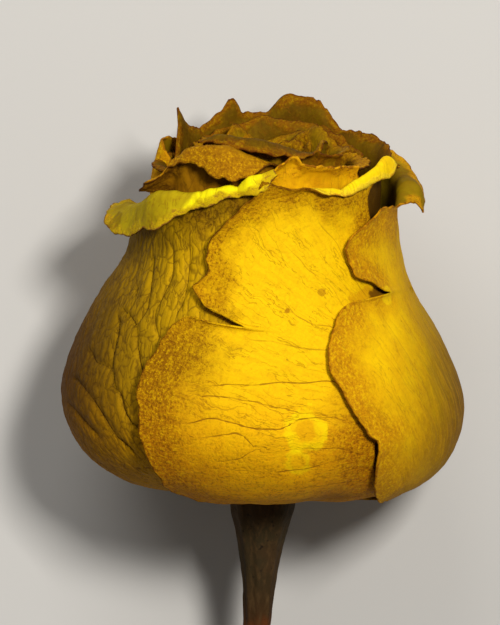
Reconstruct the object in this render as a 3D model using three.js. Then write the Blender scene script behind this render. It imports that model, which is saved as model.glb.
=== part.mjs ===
// A dried yellow rose, cut with a short length of stem and lying on its side.
//
// The bloom is modelled upright in its own frame: +Z runs from the stem to the crown, -Y is the
// bloom's front and an angle of 0 is the front, growing to the right. The whole rose is then laid
// down so that it rests on the back of its widest petals and on the cut end of its stem.
// Lengths are in millimetres and angles in degrees.

import * as THREE from "three";
import { ParametricGeometry } from "three/addons/geometries/ParametricGeometry.js";

const RAD = Math.PI / 180;

// Driving dimensions.
const STEM_LENGTH = 112; // from the petal seats down to the cut
const STEM_RADIUS = 2.0; // at the cut end
const CUT_SLANT = 1.6; // how much longer the stem is on one side of its cut
const REST_DEPTH = 23.1; // from the petal seats' centre down to the surface the bloom rests on
const PETAL_THICKNESS = 0.42;
const LAYER_STEP = 0.92; // from one petal to the next petal over it
const WHORL_TURN = 70; // turn between neighbouring petals in which one layer is gained
const REST_SOFTNESS = 0.3; // how gently the resting petals flatten
const SIDE_STEPS = 64; // points down a whorl's side
const LIP_STEPS = 12; // pieces a rolled margin is turned in
const LEAN = Math.asin((REST_DEPTH - STEM_RADIUS) / STEM_LENGTH); // crown up, stem end down

const PETAL_YELLOW = new THREE.MeshStandardMaterial({ color: 0xd9a011, roughness: 0.75 });
const INNER_OCHRE = new THREE.MeshStandardMaterial({ color: 0xa9720f, roughness: 0.8 });
const STEM_BROWN = new THREE.MeshStandardMaterial({ color: 0x4a3a26, roughness: 0.85 });

// Height at x of a smooth curve through [x, value] stops, which never swings past its stops.
function smoothValue(stops, x, column = 1) {
  const last = stops.length - 1;
  if (x <= stops[0][0]) return stops[0][column];
  if (x >= stops[last][0]) return stops[last][column];
  let i = 0;
  while (x > stops[i + 1][0]) i += 1;
  const gradient = (k) => (stops[k + 1][column] - stops[k][column]) / (stops[k + 1][0] - stops[k][0]);
  const slope = (k) => {
    if (k === 0) return gradient(0);
    if (k === last) return gradient(last - 1);
    const before = gradient(k - 1);
    const after = gradient(k);
    return before * after <= 0 ? 0 : (2 * before * after) / (before + after);
  };
  const span = stops[i + 1][0] - stops[i][0];
  const t = (x - stops[i][0]) / span;
  return (
    stops[i][column] * (1 + 2 * t) * (1 - t) ** 2 +
    stops[i + 1][column] * t * t * (3 - 2 * t) +
    slope(i) * span * t * (1 - t) ** 2 -
    slope(i + 1) * span * t * t * (1 - t)
  );
}

const smoothStep = (t) => {
  const s = Math.min(1, Math.max(0, t));
  return s * s * (3 - 2 * s);
};

// A repeatable number from -1 to 1 that stands for natural variation.
const vary = (index, kind) => Math.sin(index * 12.9898 + kind * 78.233);

// The largest radius at an angle and height that stays above the surface the bloom rests on.
function restLimit(angle, height) {
  const towardsRest = -Math.cos(angle * RAD) * Math.cos(LEAN);
  if (towardsRest < 0.2) return Infinity;
  return (REST_DEPTH + height * Math.sin(LEAN)) / towardsRest;
}

// A whorl's side view, from the petals' seats up past their rims, as radius and height at a share
// of its length. Where a whorl has several sides, each stands at its own angle round the bloom and
// they blend into one another in between.
function whorlSide(sides) {
  const paths = sides.map(({ angle, outline }) => {
    const curve = new THREE.SplineCurve(outline.map(([r, z]) => new THREE.Vector2(r, z)));
    return { angle, length: curve.getLength(), points: curve.getSpacedPoints(SIDE_STEPS) };
  });
  const onPath = ({ points }, share) => {
    const at = Math.min(SIDE_STEPS - 1e-6, Math.max(0, share * SIDE_STEPS));
    const i = Math.floor(at);
    return points[i].clone().lerp(points[i + 1], at - i);
  };
  return (angle) => {
    const turned = paths.map((path) => (((angle - path.angle) % 360) + 360) % 360);
    const before = turned.indexOf(Math.min(...turned));
    const after = (before + 1) % paths.length;
    const gap = turned[before] + 360 - turned[after];
    const blend = paths.length === 1 ? 0 : smoothStep(turned[before] / gap);
    const length = THREE.MathUtils.lerp(paths[before].length, paths[after].length, blend);
    const point = (share) => onPath(paths[before], share).lerp(onPath(paths[after], share), blend);
    const heading = (share) => {
      const low = point(Math.min(share, 1) - 0.5 / SIDE_STEPS);
      const high = point(Math.min(share, 1) + 0.5 / SIDE_STEPS);
      return Math.atan2(high.y - low.y, high.x - low.x);
    };
    return { length, point, heading };
  };
}

// The middle surface of a petal: across is -1 at its left edge and 1 at its right edge, and
// along is 0 at its seat and 1 at its rim.
function petalSurface(petal) {
  return (across, along, target) => {
    const reach = smoothValue(petal.rim, across);
    const share = along * reach;
    const halfWidth = smoothValue(across < 0 ? petal.left : petal.right, share);
    const turn = across * halfWidth;
    const angle = petal.middle + turn;
    const { length, point, heading } = petal.side(angle);
    const spot = point(share);

    // The margin rolls outwards: the fibre turns away from its old heading past the lip's start.
    const lipShare = smoothValue(petal.lip, across, 2) / length;
    const lipStart = reach - lipShare;
    if (share > lipStart) {
      const roll = smoothValue(petal.lip, across, 1) * RAD;
      const step = (share - lipStart) / LIP_STEPS;
      for (let k = 0; k < LIP_STEPS; k += 1) {
        const s = lipStart + (k + 0.5) * step;
        const old = heading(s);
        const rolled = old - roll * smoothStep((s - lipStart) / (lipShare * petal.fold));
        spot.x += (Math.cos(rolled) - Math.cos(old)) * step * length;
        spot.y += (Math.sin(rolled) - Math.sin(old)) * step * length;
      }
    }

    // Each petal lies over one neighbour and under the other, and its margin is a little wavy.
    const layer = (-LAYER_STEP * turn) / WHORL_TURN;
    const [size, cycles, phase] = petal.wave;
    const wave = size * smoothStep((along - 0.6) / 0.4) * Math.sin(cycles * across * Math.PI + phase);
    const lift = (across < 0 ? petal.lift[0] : petal.lift[1]) * Math.abs(across) ** 5;
    const outwards = layer + wave + lift;
    const h = heading(share);
    let radius = spot.x + Math.sin(h) * outwards;
    const height = spot.y - Math.cos(h) * outwards;

    if (petal.rests) {
      const limit = restLimit(angle, height) - LAYER_STEP + layer;
      if (limit < radius + 8) {
        radius = limit - REST_SOFTNESS * Math.log1p(Math.exp((limit - radius) / REST_SOFTNESS));
      }
    }
    target.set(radius * Math.sin(angle * RAD), -radius * Math.cos(angle * RAD), height);
  };
}

// A closed thin solid around a petal's middle surface, feathered to nothing at its edges.
function petalGeometry(petal) {
  const surface = petalSurface(petal);
  const [columns, rows] = petal.grid;
  const sideways = new THREE.Vector3();
  const lengthways = new THREE.Vector3();
  const behind = new THREE.Vector3();
  const nudge = 0.01;
  const around = (u, v, target) => {
    const front = u <= 0.5;
    const across = front ? 4 * u - 1 : 3 - 4 * u;
    surface(across, v, target);
    const onEdge = Math.abs(across) > 1 - 1e-6 || v < 1e-6 || v > 1 - 1e-6;
    if (onEdge) return;
    surface(across + nudge, v, sideways);
    surface(across - nudge, v, behind);
    sideways.sub(behind);
    surface(across, Math.min(1, v + nudge), lengthways);
    surface(across, v - nudge, behind);
    lengthways.sub(behind);
    const outwards = sideways.cross(lengthways).normalize();
    target.addScaledVector(outwards, ((front ? 1 : -1) * PETAL_THICKNESS) / 2);
  };
  return new ParametricGeometry(around, columns * 2, rows);
}

// The outer whorl's sides at the front, right and left.
const FRONT_SIDE = [
  [4.9, 3.4], [9, 3.1], [15, 4.1], [20.5, 5.9], [24.7, 9.2], [27, 14.4], [26.2, 20], [23.6, 26.5],
  [20.6, 32.5], [18.6, 39], [18.0, 45], [18.2, 51], [18.6, 57],
];
const RIGHT_SIDE = [
  [4.9, 3.2], [10, 1.7], [15, 1.5], [19.5, 2.6], [23.3, 4.9], [26, 8.4], [27.1, 13], [26.5, 17],
  [24.3, 22.5], [21.6, 27.5], [19.9, 32], [19, 38], [18.6, 44], [19, 50], [19.6, 55],
];
const LEFT_SIDE = [
  [4.9, 3.3], [10, 2.3], [15, 2.7], [20, 4.4], [24, 7.3], [26.6, 12], [26.9, 17], [25.5, 23],
  [23, 28.8], [20, 34], [18.5, 39], [18.2, 44], [18.4, 50], [18.6, 56],
];
const OUTER_SIDE = whorlSide([
  { angle: 22, outline: FRONT_SIDE },
  { angle: 92, outline: RIGHT_SIDE },
  { angle: 161, outline: RIGHT_SIDE },
  { angle: 229, outline: LEFT_SIDE },
  { angle: 298, outline: LEFT_SIDE },
]);

// Petals. left and right are half-widths in degrees at shares of the side's length; rim is the
// share the petal reaches at places across it; lip is [across, degrees rolled, length].
const FRONT_PETAL = {
  name: "front_petal",
  middle: 22,
  left: [
    [0, 30], [0.14, 34], [0.23, 45], [0.3, 52.8], [0.36, 56.8], [0.44, 60], [0.51, 61.2],
    [0.585, 57.9], [0.62, 52], [0.645, 47], [0.67, 48.1], [0.705, 44.2], [0.765, 42.6],
    [0.825, 31.9], [0.89, 18.1], [1, 12],
  ],
  right: [[0, 30], [0.16, 36], [0.3, 44], [0.5, 48], [0.75, 48], [0.88, 46], [1, 42]],
  rim: [[-1, 0.88], [-0.5, 0.895], [0, 0.875], [0.4, 0.885], [0.75, 0.935], [1, 0.945]],
  lip: [[-1, 10, 2], [-0.3, 40, 2], [0.2, 80, 2], [0.6, 115, 3], [1, 125, 3.4]],
  fold: 0.8,
  wave: [0.15, 1.3, 0.4],
  lift: [0.35, 0],
};

const RIGHT_PETAL = {
  name: "right_petal",
  middle: 92,
  left: [
    [0, 30], [0.14, 44], [0.22, 52], [0.29, 54.6], [0.36, 58], [0.415, 59.3], [0.45, 63.2],
    [0.505, 67.5], [0.535, 70.7], [0.585, 71], [0.66, 65.8], [0.69, 52], [0.72, 49.3],
    [0.75, 55.5], [0.78, 57.5], [0.805, 55.7], [0.85, 36.2], [1, 28],
  ],
  right: [[0, 30], [0.16, 36], [0.3, 48], [0.5, 55], [0.8, 55], [1, 50]],
  rim: [[-1, 0.84], [-0.72, 0.845], [-0.5, 0.86], [-0.15, 0.93], [0.25, 0.95], [1, 0.93]],
  lip: [[-1, 8, 2], [-0.6, 15, 2], [-0.2, 130, 6.5], [0.15, 95, 6], [0.6, 55, 6], [1, 30, 5]],
  fold: 0.9,
  wave: [0.2, 1.5, 1.2],
  lift: [0.3, 0],
};

const LEFT_PETAL = {
  name: "left_petal",
  middle: -62,
  left: [[0, 30], [0.16, 40], [0.3, 54], [0.5, 62], [0.8, 58], [1, 44]],
  right: [[0, 30], [0.16, 36], [0.3, 46], [0.5, 52], [0.8, 62], [1, 72]],
  rim: [[-1, 0.86], [-0.5, 0.89], [-0.1, 0.915], [0.3, 0.93], [0.55, 0.915], [1, 0.945]],
  lip: [[-1, 60, 4], [-0.35, 115, 5.5], [0, 160, 6], [0.3, 160, 5.4], [0.5, 120, 2.4], [1, 90, 1.6]],
  fold: 0.45,
  wave: [0.15, 1.5, 0],
  lift: [0.3, 0],
};

const BACK_LEFT_PETAL = {
  ...LEFT_PETAL,
  name: "back_left_petal",
  middle: -131,
  right: [[0, 30], [0.16, 36], [0.3, 46], [0.5, 52], [0.8, 50], [1, 44]],
  rim: [[-1, 0.87], [-0.4, 0.91], [0.2, 0.89], [1, 0.85]],
  lip: [[-1, 20, 3], [-0.4, 90, 5], [0, 60, 4], [0.3, 20, 3], [1, 8, 2]],
  wave: [0.12, 1.8, 2],
  rests: true,
};

const BACK_RIGHT_PETAL = {
  ...RIGHT_PETAL,
  name: "back_right_petal",
  middle: 161,
  left: [[0, 30], [0.16, 40], [0.3, 54], [0.5, 62], [0.8, 60], [1, 48]],
  rim: [[-1, 0.86], [-0.4, 0.91], [0.3, 0.9], [1, 0.86]],
  lip: [[-1, 30, 3], [-0.4, 90, 5], [0, 50, 4], [0.3, 15, 3], [1, 8, 2]],
  fold: 0.7,
  wave: [0.12, 1.6, 0.9],
  rests: true,
};

const OUTER_PETALS = [FRONT_PETAL, RIGHT_PETAL, BACK_RIGHT_PETAL, BACK_LEFT_PETAL, LEFT_PETAL];
for (const petal of OUTER_PETALS) {
  petal.side = OUTER_SIDE;
  petal.grid = [11, 13];
  petal.material = PETAL_YELLOW;
}

// The whorls inside the outer one, from the outside in. roll and lipLength are how far and how
// wide the margins roll outwards. A petal keeps its whorl's shape, with a rim and lip of its own
// where OWN_RIMS gives them.
const INNER_WHORLS = [
  {
    name: "second",
    petals: 5,
    first: -34,
    outline: [
      [4.0, 4.1], [8, 4.7], [14, 5.8], [19, 8.4], [22, 13.5], [21.5, 20], [18.8, 28], [16.2, 35],
      [15.2, 41], [15.2, 47], [15.4, 54], [15.9, 60],
    ],
    halfWidth: [[0, 30], [0.2, 44], [0.45, 56], [0.8, 52], [1, 44]],
    roll: 70,
    lipLength: 4,
    grid: [8, 9],
  },
  {
    name: "third",
    petals: 5,
    first: 6,
    outline: [
      [3.2, 5.3], [6.5, 6.8], [11, 8.6], [15.5, 12], [17.5, 17.5], [16.5, 24.5], [14, 31.5],
      [12.4, 38], [12, 45], [12.3, 53], [12.6, 59],
    ],
    halfWidth: [[0, 30], [0.2, 44], [0.45, 56], [0.8, 52], [1, 40]],
    roll: 65,
    lipLength: 3.6,
    grid: [7, 8],
  },
  {
    name: "fourth",
    petals: 5,
    first: 35,
    outline: [
      [2.4, 6.5], [5, 9], [9, 12.5], [12, 17.5], [12.6, 23.5], [11, 30.5], [9.6, 37.5], [9, 44],
      [9.2, 52], [9.4, 58],
    ],
    halfWidth: [[0, 30], [0.2, 46], [0.45, 58], [0.8, 54], [1, 40]],
    roll: 55,
    lipLength: 3,
    grid: [5, 6],
  },
  {
    name: "fifth",
    petals: 4,
    first: -14,
    outline: [
      [1.6, 7.4], [3.4, 10.5], [6.2, 15.5], [7.9, 21.5], [7.8, 28.5], [6.6, 36], [6.1, 43], [6.3, 51],
      [6.4, 56],
    ],
    halfWidth: [[0, 36], [0.2, 54], [0.45, 68], [0.8, 62], [1, 46]],
    roll: 40,
    lipLength: 2.4,
    grid: [5, 7],
  },
  {
    name: "heart",
    petals: 3,
    first: 60,
    outline: [
      [0.9, 8.5], [1.9, 12.5], [3.6, 18.5], [4.2, 25.5], [3.6, 33.5], [3.0, 41], [3.2, 49], [3.3, 54],
    ],
    halfWidth: [[0, 40], [0.2, 60], [0.45, 80], [0.8, 70], [1, 50]],
    roll: 25,
    lipLength: 2,
    grid: [5, 6],
  },
];

const OWN_RIMS = {
  second_petal_1: {
    rim: [[-1, 0.87], [-0.7, 0.9], [-0.2, 0.96], [0.3, 0.98], [0.7, 0.93], [1, 0.92]],
    lip: [[-1, 130, 5], [-0.5, 130, 6], [0.2, 120, 5], [0.7, 60, 3], [1, 30, 2]],
    fold: 0.8,
  },
  second_petal_2: {
    rim: [[-1, 0.87], [-0.45, 0.875], [-0.3, 0.9], [-0.1, 0.88], [0.5, 0.885], [1, 0.87]],
    lip: [[-1, 20, 2], [0, 40, 3], [1, 30, 2]],
    fold: 0.9,
  },
};

function innerPetals(whorl, whorlIndex) {
  const turn = 360 / whorl.petals;
  const side = whorlSide([{ angle: 0, outline: whorl.outline }]);
  return Array.from({ length: whorl.petals }, (_, i) => {
    const name = `${whorl.name}_petal_${i + 1}`;
    const seed = whorlIndex * 7 + i;
    const tall = 0.93 + 0.025 * vary(seed, 1);
    const dip = 0.03 + 0.02 * vary(seed, 2);
    const roll = whorl.roll * (1 + 0.6 * vary(seed, 3));
    return {
      name,
      middle: whorl.first + i * turn + 4 * vary(seed, 4),
      side,
      left: whorl.halfWidth,
      right: whorl.halfWidth,
      rim: [[-1, tall - 2 * dip], [-0.4, tall], [0.1, tall - dip], [0.5, tall + 0.01], [1, tall - 2 * dip]],
      lip: [
        [-1, roll * 0.4, whorl.lipLength / 2],
        [-0.3, roll, whorl.lipLength],
        [0.4, roll * 0.6, whorl.lipLength * 0.8],
        [1, roll * 0.3, whorl.lipLength / 2],
      ],
      fold: 0.9,
      wave: [0.25 + 0.15 * vary(seed, 5), 1.5 + 0.5 * vary(seed, 6), 3 * vary(seed, 7)],
      lift: [0.1, 0],
      grid: whorl.grid,
      material: whorlIndex === 0 ? PETAL_YELLOW : INNER_OCHRE,
      ...OWN_RIMS[name],
    };
  });
}

// The stem with the swollen seat that the petals grow from, in one piece: [height, radius] down
// its length, closed on its own line at both ends.
const STEM_OUTLINE = [
  [3.1, 0], [2.9, 2.6], [2.3, 3.9], [1.2, 4.5], [-0.6, 4.6], [-3.2, 4.1], [-5.6, 3.4], [-8, 2.75],
  [-11, 2.3], [-16, 1.9], [-40, 1.85], [-58, 1.9], [-62, 2.35], [-65, 2.15], [-70, 1.95],
  [-95, 1.98], [-STEM_LENGTH, STEM_RADIUS], [-STEM_LENGTH, 0],
];

// How far the stem's line stands to the side at a height below the seats.
const stemSway = (height) => (height > 0 ? 0 : -0.9 * Math.sin((-height / STEM_LENGTH) * 2.6) + height * 0.03);

function stemGeometry() {
  const around = (u, v, target) => {
    const place = v * (STEM_OUTLINE.length - 1);
    const i = Math.min(STEM_OUTLINE.length - 2, Math.floor(place));
    const share = place - i;
    const height = THREE.MathUtils.lerp(STEM_OUTLINE[i][0], STEM_OUTLINE[i + 1][0], share);
    const radius = THREE.MathUtils.lerp(STEM_OUTLINE[i][1], STEM_OUTLINE[i + 1][1], share);
    const angle = -u * 2 * Math.PI;
    const x = radius * Math.sin(angle);
    const slant = height <= -STEM_LENGTH ? (-CUT_SLANT * x) / STEM_RADIUS / 2 : 0;
    target.set(x + stemSway(height), -radius * Math.cos(angle), height + slant);
  };
  return new ParametricGeometry(around, 12, STEM_OUTLINE.length - 1);
}

const rose = new THREE.Group();
const allPetals = [...OUTER_PETALS, ...INNER_WHORLS.flatMap(innerPetals)];
for (const petal of allPetals) {
  const mesh = new THREE.Mesh(petalGeometry(petal), petal.material);
  mesh.name = petal.name;
  rose.add(mesh);
}
const stem = new THREE.Mesh(stemGeometry(), STEM_BROWN);
stem.name = "stem";
rose.add(stem);

// Laid down with its front up, crown towards +Y, and stood on z = 0 over the middle of its box.
rose.rotation.x = LEAN - Math.PI / 2;
const root = new THREE.Group();
root.add(rose);
const box = new THREE.Box3().setFromObject(root, true);
const middle = box.getCenter(new THREE.Vector3());
rose.position.set(-middle.x, -middle.y, -box.min.z);

export default root;
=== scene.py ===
"""A dried yellow rose, cut with a short stem, lying on a pale floor.

The petals and the stem are shaped upright, in the rose's own frame and in millimetres: +Z runs from the
petals' seats to the crown, -Y is the front, and an angle of 0 is the front, growing to the right. Each
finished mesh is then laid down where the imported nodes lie, in metres.
"""

import logging
import math
from dataclasses import dataclass, field, replace
from enum import Enum

import bpy
import numpy as np
from mathutils import Matrix, Vector
from mathutils.kdtree import KDTree

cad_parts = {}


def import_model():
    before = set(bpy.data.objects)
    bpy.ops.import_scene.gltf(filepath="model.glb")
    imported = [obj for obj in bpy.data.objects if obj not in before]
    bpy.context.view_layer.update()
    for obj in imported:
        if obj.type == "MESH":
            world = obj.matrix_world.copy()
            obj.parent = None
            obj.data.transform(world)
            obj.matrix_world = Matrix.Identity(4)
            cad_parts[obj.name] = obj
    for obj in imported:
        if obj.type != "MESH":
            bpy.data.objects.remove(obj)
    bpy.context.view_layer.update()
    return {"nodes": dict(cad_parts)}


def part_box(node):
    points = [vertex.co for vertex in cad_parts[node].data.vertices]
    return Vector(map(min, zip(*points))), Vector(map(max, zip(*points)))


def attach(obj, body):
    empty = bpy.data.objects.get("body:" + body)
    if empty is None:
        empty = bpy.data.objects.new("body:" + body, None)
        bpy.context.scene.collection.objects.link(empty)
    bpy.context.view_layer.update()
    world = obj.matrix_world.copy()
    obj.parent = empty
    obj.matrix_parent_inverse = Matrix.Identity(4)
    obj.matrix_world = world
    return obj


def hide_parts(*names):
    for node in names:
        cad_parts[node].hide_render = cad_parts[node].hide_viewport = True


Stops = tuple[tuple[float, ...], ...]
Colour = tuple[float, float, float]
Socket = bpy.types.NodeSocket

LOG = logging.getLogger("dried_rose")
MM = 0.001

# The driving dimensions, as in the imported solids.
STEM_LENGTH = 112.0
STEM_RADIUS = 2.0
CUT_SLANT = 1.6
SWAY = 0.9
SWAY_TURN = 2.6
SWAY_SLANT = 0.03
REST_DEPTH = 23.1
LAYER_STEP = 0.92
WHORL_TURN = 70.0
REST_SOFTNESS = 0.3
LEAST_TOWARDS = 0.2
LEAN = math.asin((REST_DEPTH - STEM_RADIUS) / STEM_LENGTH)

# How the finished petals are made.
PETAL_THICKNESS = 0.26
SIDE_STEPS = 64
LIP_STEPS = 20
FLOOR_CLEARANCE = 0.16
DULL_SPECULAR = 0.04
DULL_ROUGHNESS = 0.7
VARY_STEPS = (12.9898, 78.233)


class Slot(Enum):
    """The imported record's material slots."""

    OUTER = "outer_petals"
    INNER = "inner_petals"
    STEM = "stem"


def smooth_step(value: np.ndarray) -> np.ndarray:
    """Ease from 0 to 1 as the value goes from 0 to 1.

    Args:
        value: Any numbers.

    Returns:
        The eased numbers.
    """
    held = np.clip(value, 0.0, 1.0)
    return held * held * (3.0 - 2.0 * held)


def smooth_value(stops: Stops, x: np.ndarray, column: int = 1) -> np.ndarray:
    """Read a smooth curve through stops that never swings past them.

    Args:
        stops: Rows that start with their place, in rising order.
        x: Where to read the curve.
        column: Which number of each row to read.

    Returns:
        The curve's height at each x.
    """
    places = np.array([stop[0] for stop in stops])
    heights = np.array([stop[column] for stop in stops])
    gradients = np.diff(heights) / np.diff(places)
    product = gradients[:-1] * gradients[1:]
    total = np.where(np.abs(gradients[:-1] + gradients[1:]) < 1e-12, 1.0, gradients[:-1] + gradients[1:])
    middle = np.where(product <= 0.0, 0.0, 2.0 * product / total)
    slopes = np.concatenate(([gradients[0]], middle, [gradients[-1]]))
    held = np.clip(x, places[0], places[-1])
    i = np.clip(np.searchsorted(places, held, side="left") - 1, 0, len(places) - 2)
    span = places[i + 1] - places[i]
    t = (held - places[i]) / span
    return (
        heights[i] * (1 + 2 * t) * (1 - t) ** 2
        + heights[i + 1] * t * t * (3 - 2 * t)
        + slopes[i] * span * t * (1 - t) ** 2
        - slopes[i + 1] * span * t * t * (1 - t)
    )


def vary(index: int, kind: int) -> float:
    """Give a repeatable number from -1 to 1 that stands for natural variation."""
    return math.sin(index * VARY_STEPS[0] + kind * VARY_STEPS[1])


class Cloud:
    """Smooth seeded noise in space."""

    CELLS = 32
    OFFSET = 7.3
    LAYER_OFFSET = 3.1

    def __init__(self, seed: int) -> None:
        """Draw the lattice that the noise runs through.

        Args:
            seed: Which cloud to draw.
        """
        random = np.random.default_rng(seed)
        self.lattice = random.uniform(-1.0, 1.0, (self.CELLS,) * 3)

    def at(self, points: np.ndarray, size: float) -> np.ndarray:
        """Read the cloud.

        Args:
            points: Rows of x, y and z.
            size: The width of its lumps, in the points' units.

        Returns:
            A number from -1 to 1 for each point.
        """
        scaled = points / size + self.OFFSET
        cell = np.floor(scaled).astype(int)
        part = scaled - cell
        part = part * part * (3.0 - 2.0 * part)
        total = np.zeros(len(points))
        for corner in range(8):
            step = np.array([corner & 1, corner >> 1 & 1, corner >> 2 & 1])
            weight = np.prod(np.where(step == 1, part, 1.0 - part), axis=1)
            x, y, z = ((cell + step) % self.CELLS).T
            total += weight * self.lattice[x, y, z]
        return total

    def layered(self, points: np.ndarray, size: float, layers: int = 3) -> np.ndarray:
        """Read finer and fainter layers of the cloud on top of one another.

        Args:
            points: Rows of x, y and z.
            size: The width of the largest lumps.
            layers: How many layers, each half as wide and half as strong as the last.

        Returns:
            A number for each point, mostly from -1 to 1.
        """
        return sum(self.at(points + self.LAYER_OFFSET * k, size / 2**k) / 2**k for k in range(layers))


def rest_limit(angle: np.ndarray, height: np.ndarray) -> np.ndarray:
    """Find the largest radius that stays above the surface the bloom rests on.

    Args:
        angle: Degrees round the bloom.
        height: Heights above the petals' seats.

    Returns:
        The radius at each place, or infinity where the surface is out of reach.
    """
    towards = -np.cos(np.radians(angle)) * math.cos(LEAN)
    near = towards >= LEAST_TOWARDS
    return np.where(near, (REST_DEPTH + height * math.sin(LEAN)) / np.where(near, towards, 1.0), np.inf)


class WhorlSide:
    """A whorl's side view, from the seats up past the rims, which may change round the bloom."""

    FINE_STEPS = 60

    def __init__(self, sides: list[tuple[float, Stops]]) -> None:
        """Space points evenly along each side.

        Args:
            sides: Each side's angle round the bloom and its outline of radius and height.
        """
        self.angles = np.array([angle for angle, _ in sides])
        spaced = [self._spaced(np.array(outline)) for _, outline in sides]
        self.points = np.stack([points for points, _ in spaced])
        self.lengths = np.array([length for _, length in spaced])

    @classmethod
    def _spaced(cls, outline: np.ndarray) -> tuple[np.ndarray, float]:
        """Run a smooth curve through an outline.

        Args:
            outline: Rows of radius and height.

        Returns:
            Evenly spaced points on the curve, and its length.
        """
        padded = np.vstack([outline[:1], outline, outline[-1:]])
        t = np.linspace(0.0, 1.0, cls.FINE_STEPS, endpoint=False)[:, None]
        runs = []
        for a, b, c, d in zip(padded, padded[1:], padded[2:], padded[3:]):
            v0 = (c - a) / 2
            v1 = (d - b) / 2
            runs.append((2 * (b - c) + v0 + v1) * t**3 + (3 * (c - b) - 2 * v0 - v1) * t**2 + v0 * t + b)
        curve = np.vstack([*runs, outline[-1:]])
        along = np.concatenate(([0.0], np.cumsum(np.linalg.norm(np.diff(curve, axis=0), axis=1))))
        even = np.linspace(0.0, along[-1], SIDE_STEPS + 1)
        points = np.stack([np.interp(even, along, curve[:, k]) for k in range(2)], axis=1)
        return points, float(along[-1])

    def _between(self, angle: np.ndarray) -> tuple[np.ndarray, np.ndarray, np.ndarray]:
        """Find the sides that each angle lies between.

        Args:
            angle: Degrees round the bloom.

        Returns:
            The side before, the side after, and how far it is from one to the other.
        """
        if len(self.angles) == 1:
            none = np.zeros(len(angle), dtype=int)
            return none, none, np.zeros(len(angle))
        turned = (angle[:, None] - self.angles[None, :]) % 360.0
        before = np.argmin(turned, axis=1)
        after = (before + 1) % len(self.angles)
        rows = np.arange(len(angle))
        gap = turned[rows, before] + 360.0 - turned[rows, after]
        return before, after, smooth_step(turned[rows, before] / gap)

    def length(self, angle: np.ndarray) -> np.ndarray:
        """Give the side's length at each angle."""
        before, after, share = self._between(angle)
        return self.lengths[before] * (1 - share) + self.lengths[after] * share

    def point(self, angle: np.ndarray, share: np.ndarray) -> np.ndarray:
        """Find points on the side.

        Args:
            angle: Degrees round the bloom.
            share: Shares of the side's length.

        Returns:
            Rows of radius and height.
        """
        before, after, blend = self._between(angle)
        at = np.clip(share * SIDE_STEPS, 0.0, SIDE_STEPS - 1e-6)
        i = at.astype(int)
        part = (at - i)[:, None]
        low = self.points[before, i] * (1 - part) + self.points[before, i + 1] * part
        high = self.points[after, i] * (1 - part) + self.points[after, i + 1] * part
        return low + (high - low) * blend[:, None]

    def heading(self, angle: np.ndarray, share: np.ndarray) -> np.ndarray:
        """Find which way the side runs.

        Args:
            angle: Degrees round the bloom.
            share: Shares of the side's length.

        Returns:
            The direction in radians, from outwards towards upwards.
        """
        held = np.minimum(share, 1.0)
        step = self.point(angle, held + 0.5 / SIDE_STEPS) - self.point(angle, held - 0.5 / SIDE_STEPS)
        return np.arctan2(step[:, 1], step[:, 0])


@dataclass(frozen=True)
class Push:
    """A local swelling or dent in a petal.

    Attributes:
        angle: Degrees round the bloom of its middle.
        height: Height of its middle.
        across: How wide it is.
        upright: How tall it is.
        amount: How far it stands out, or in where negative.
    """

    angle: float
    height: float
    across: float
    upright: float
    amount: float


@dataclass(frozen=True)
class Vein:
    """A main vein, drawn on the petal's fan.

    Attributes:
        path: Rows of the distance from the fan's start in mm and the bearing there in degrees.
        strength: How plainly it shows, up to 1.
    """

    path: Stops
    strength: float


# The veins grown on a petal's fan, in mm and degrees: the outer stalks' bearings and how many stalks there
# are, where a stalk starts and forks, how far its branches run on, spread, turn and stray, and how plainly
# they show.
VEIN_BEARINGS = (58.0, 122.0)
VEIN_STALKS = 8
VEIN_ROOT = 16.0
VEIN_FORK = (26.0, 48.0)
VEIN_BRANCH = (12.0, 26.0)
VEIN_SPREAD = (2.0, 4.0)
VEIN_TURN = 7.0
VEIN_STRAY = (-1.0, 1.0)
VEIN_STRENGTH = 0.8
VEIN_SHARES = (0.45, 1.0)
UPWARDS = 90.0


def grown_veins(seed: int) -> tuple[Vein, ...]:
    """Grow forked veins that fan out evenly up a petal.

    Args:
        seed: Which petal's set to grow.

    Returns:
        The veins, two for each stalk.
    """
    random = np.random.default_rng(seed)
    veins = []
    for bearing in np.linspace(*VEIN_BEARINGS, VEIN_STALKS):
        root = UPWARDS + 0.9 * (bearing - UPWARDS) + random.uniform(*VEIN_STRAY)
        fork = random.uniform(*VEIN_FORK)
        spread = random.uniform(*VEIN_SPREAD)
        for way in (-1.0, 1.0):
            ends = bearing + way * spread + random.uniform(*VEIN_STRAY)
            reach = fork + random.uniform(*VEIN_BRANCH)
            turn = (fork + VEIN_TURN, (bearing + ends) / 2 + 0.6 * way)
            path = ((VEIN_ROOT, root), (fork, bearing), turn, (reach, ends))
            veins.append(Vein(path, VEIN_STRENGTH * random.uniform(*VEIN_SHARES)))
    return tuple(veins)


@dataclass(frozen=True)
class Tear:
    """A slit torn into a petal's left edge.

    Attributes:
        share: The share of the side where it opens.
        turn: Degrees from the petal's middle line to its mouth.
        slant: How much the slit drops towards its tip, as a share of the side for each degree.
    """

    SPREAD = 15.0
    BAND = 0.05
    ONSET = 10.0

    share: float
    turn: float
    slant: float

    def slanted(self, turn: np.ndarray, share: np.ndarray) -> np.ndarray:
        """Slant the petal's tissue round the slit.

        Args:
            turn: Degrees from the petal's middle line.
            share: Shares of the side.

        Returns:
            The shifted shares.
        """
        shift = self.slant * self.SPREAD * np.tanh((-turn - self.turn) / self.SPREAD)
        near = np.exp(-(((share - self.share) / self.BAND) ** 2))
        return share + shift * near * smooth_step(-turn / self.ONSET)


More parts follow.
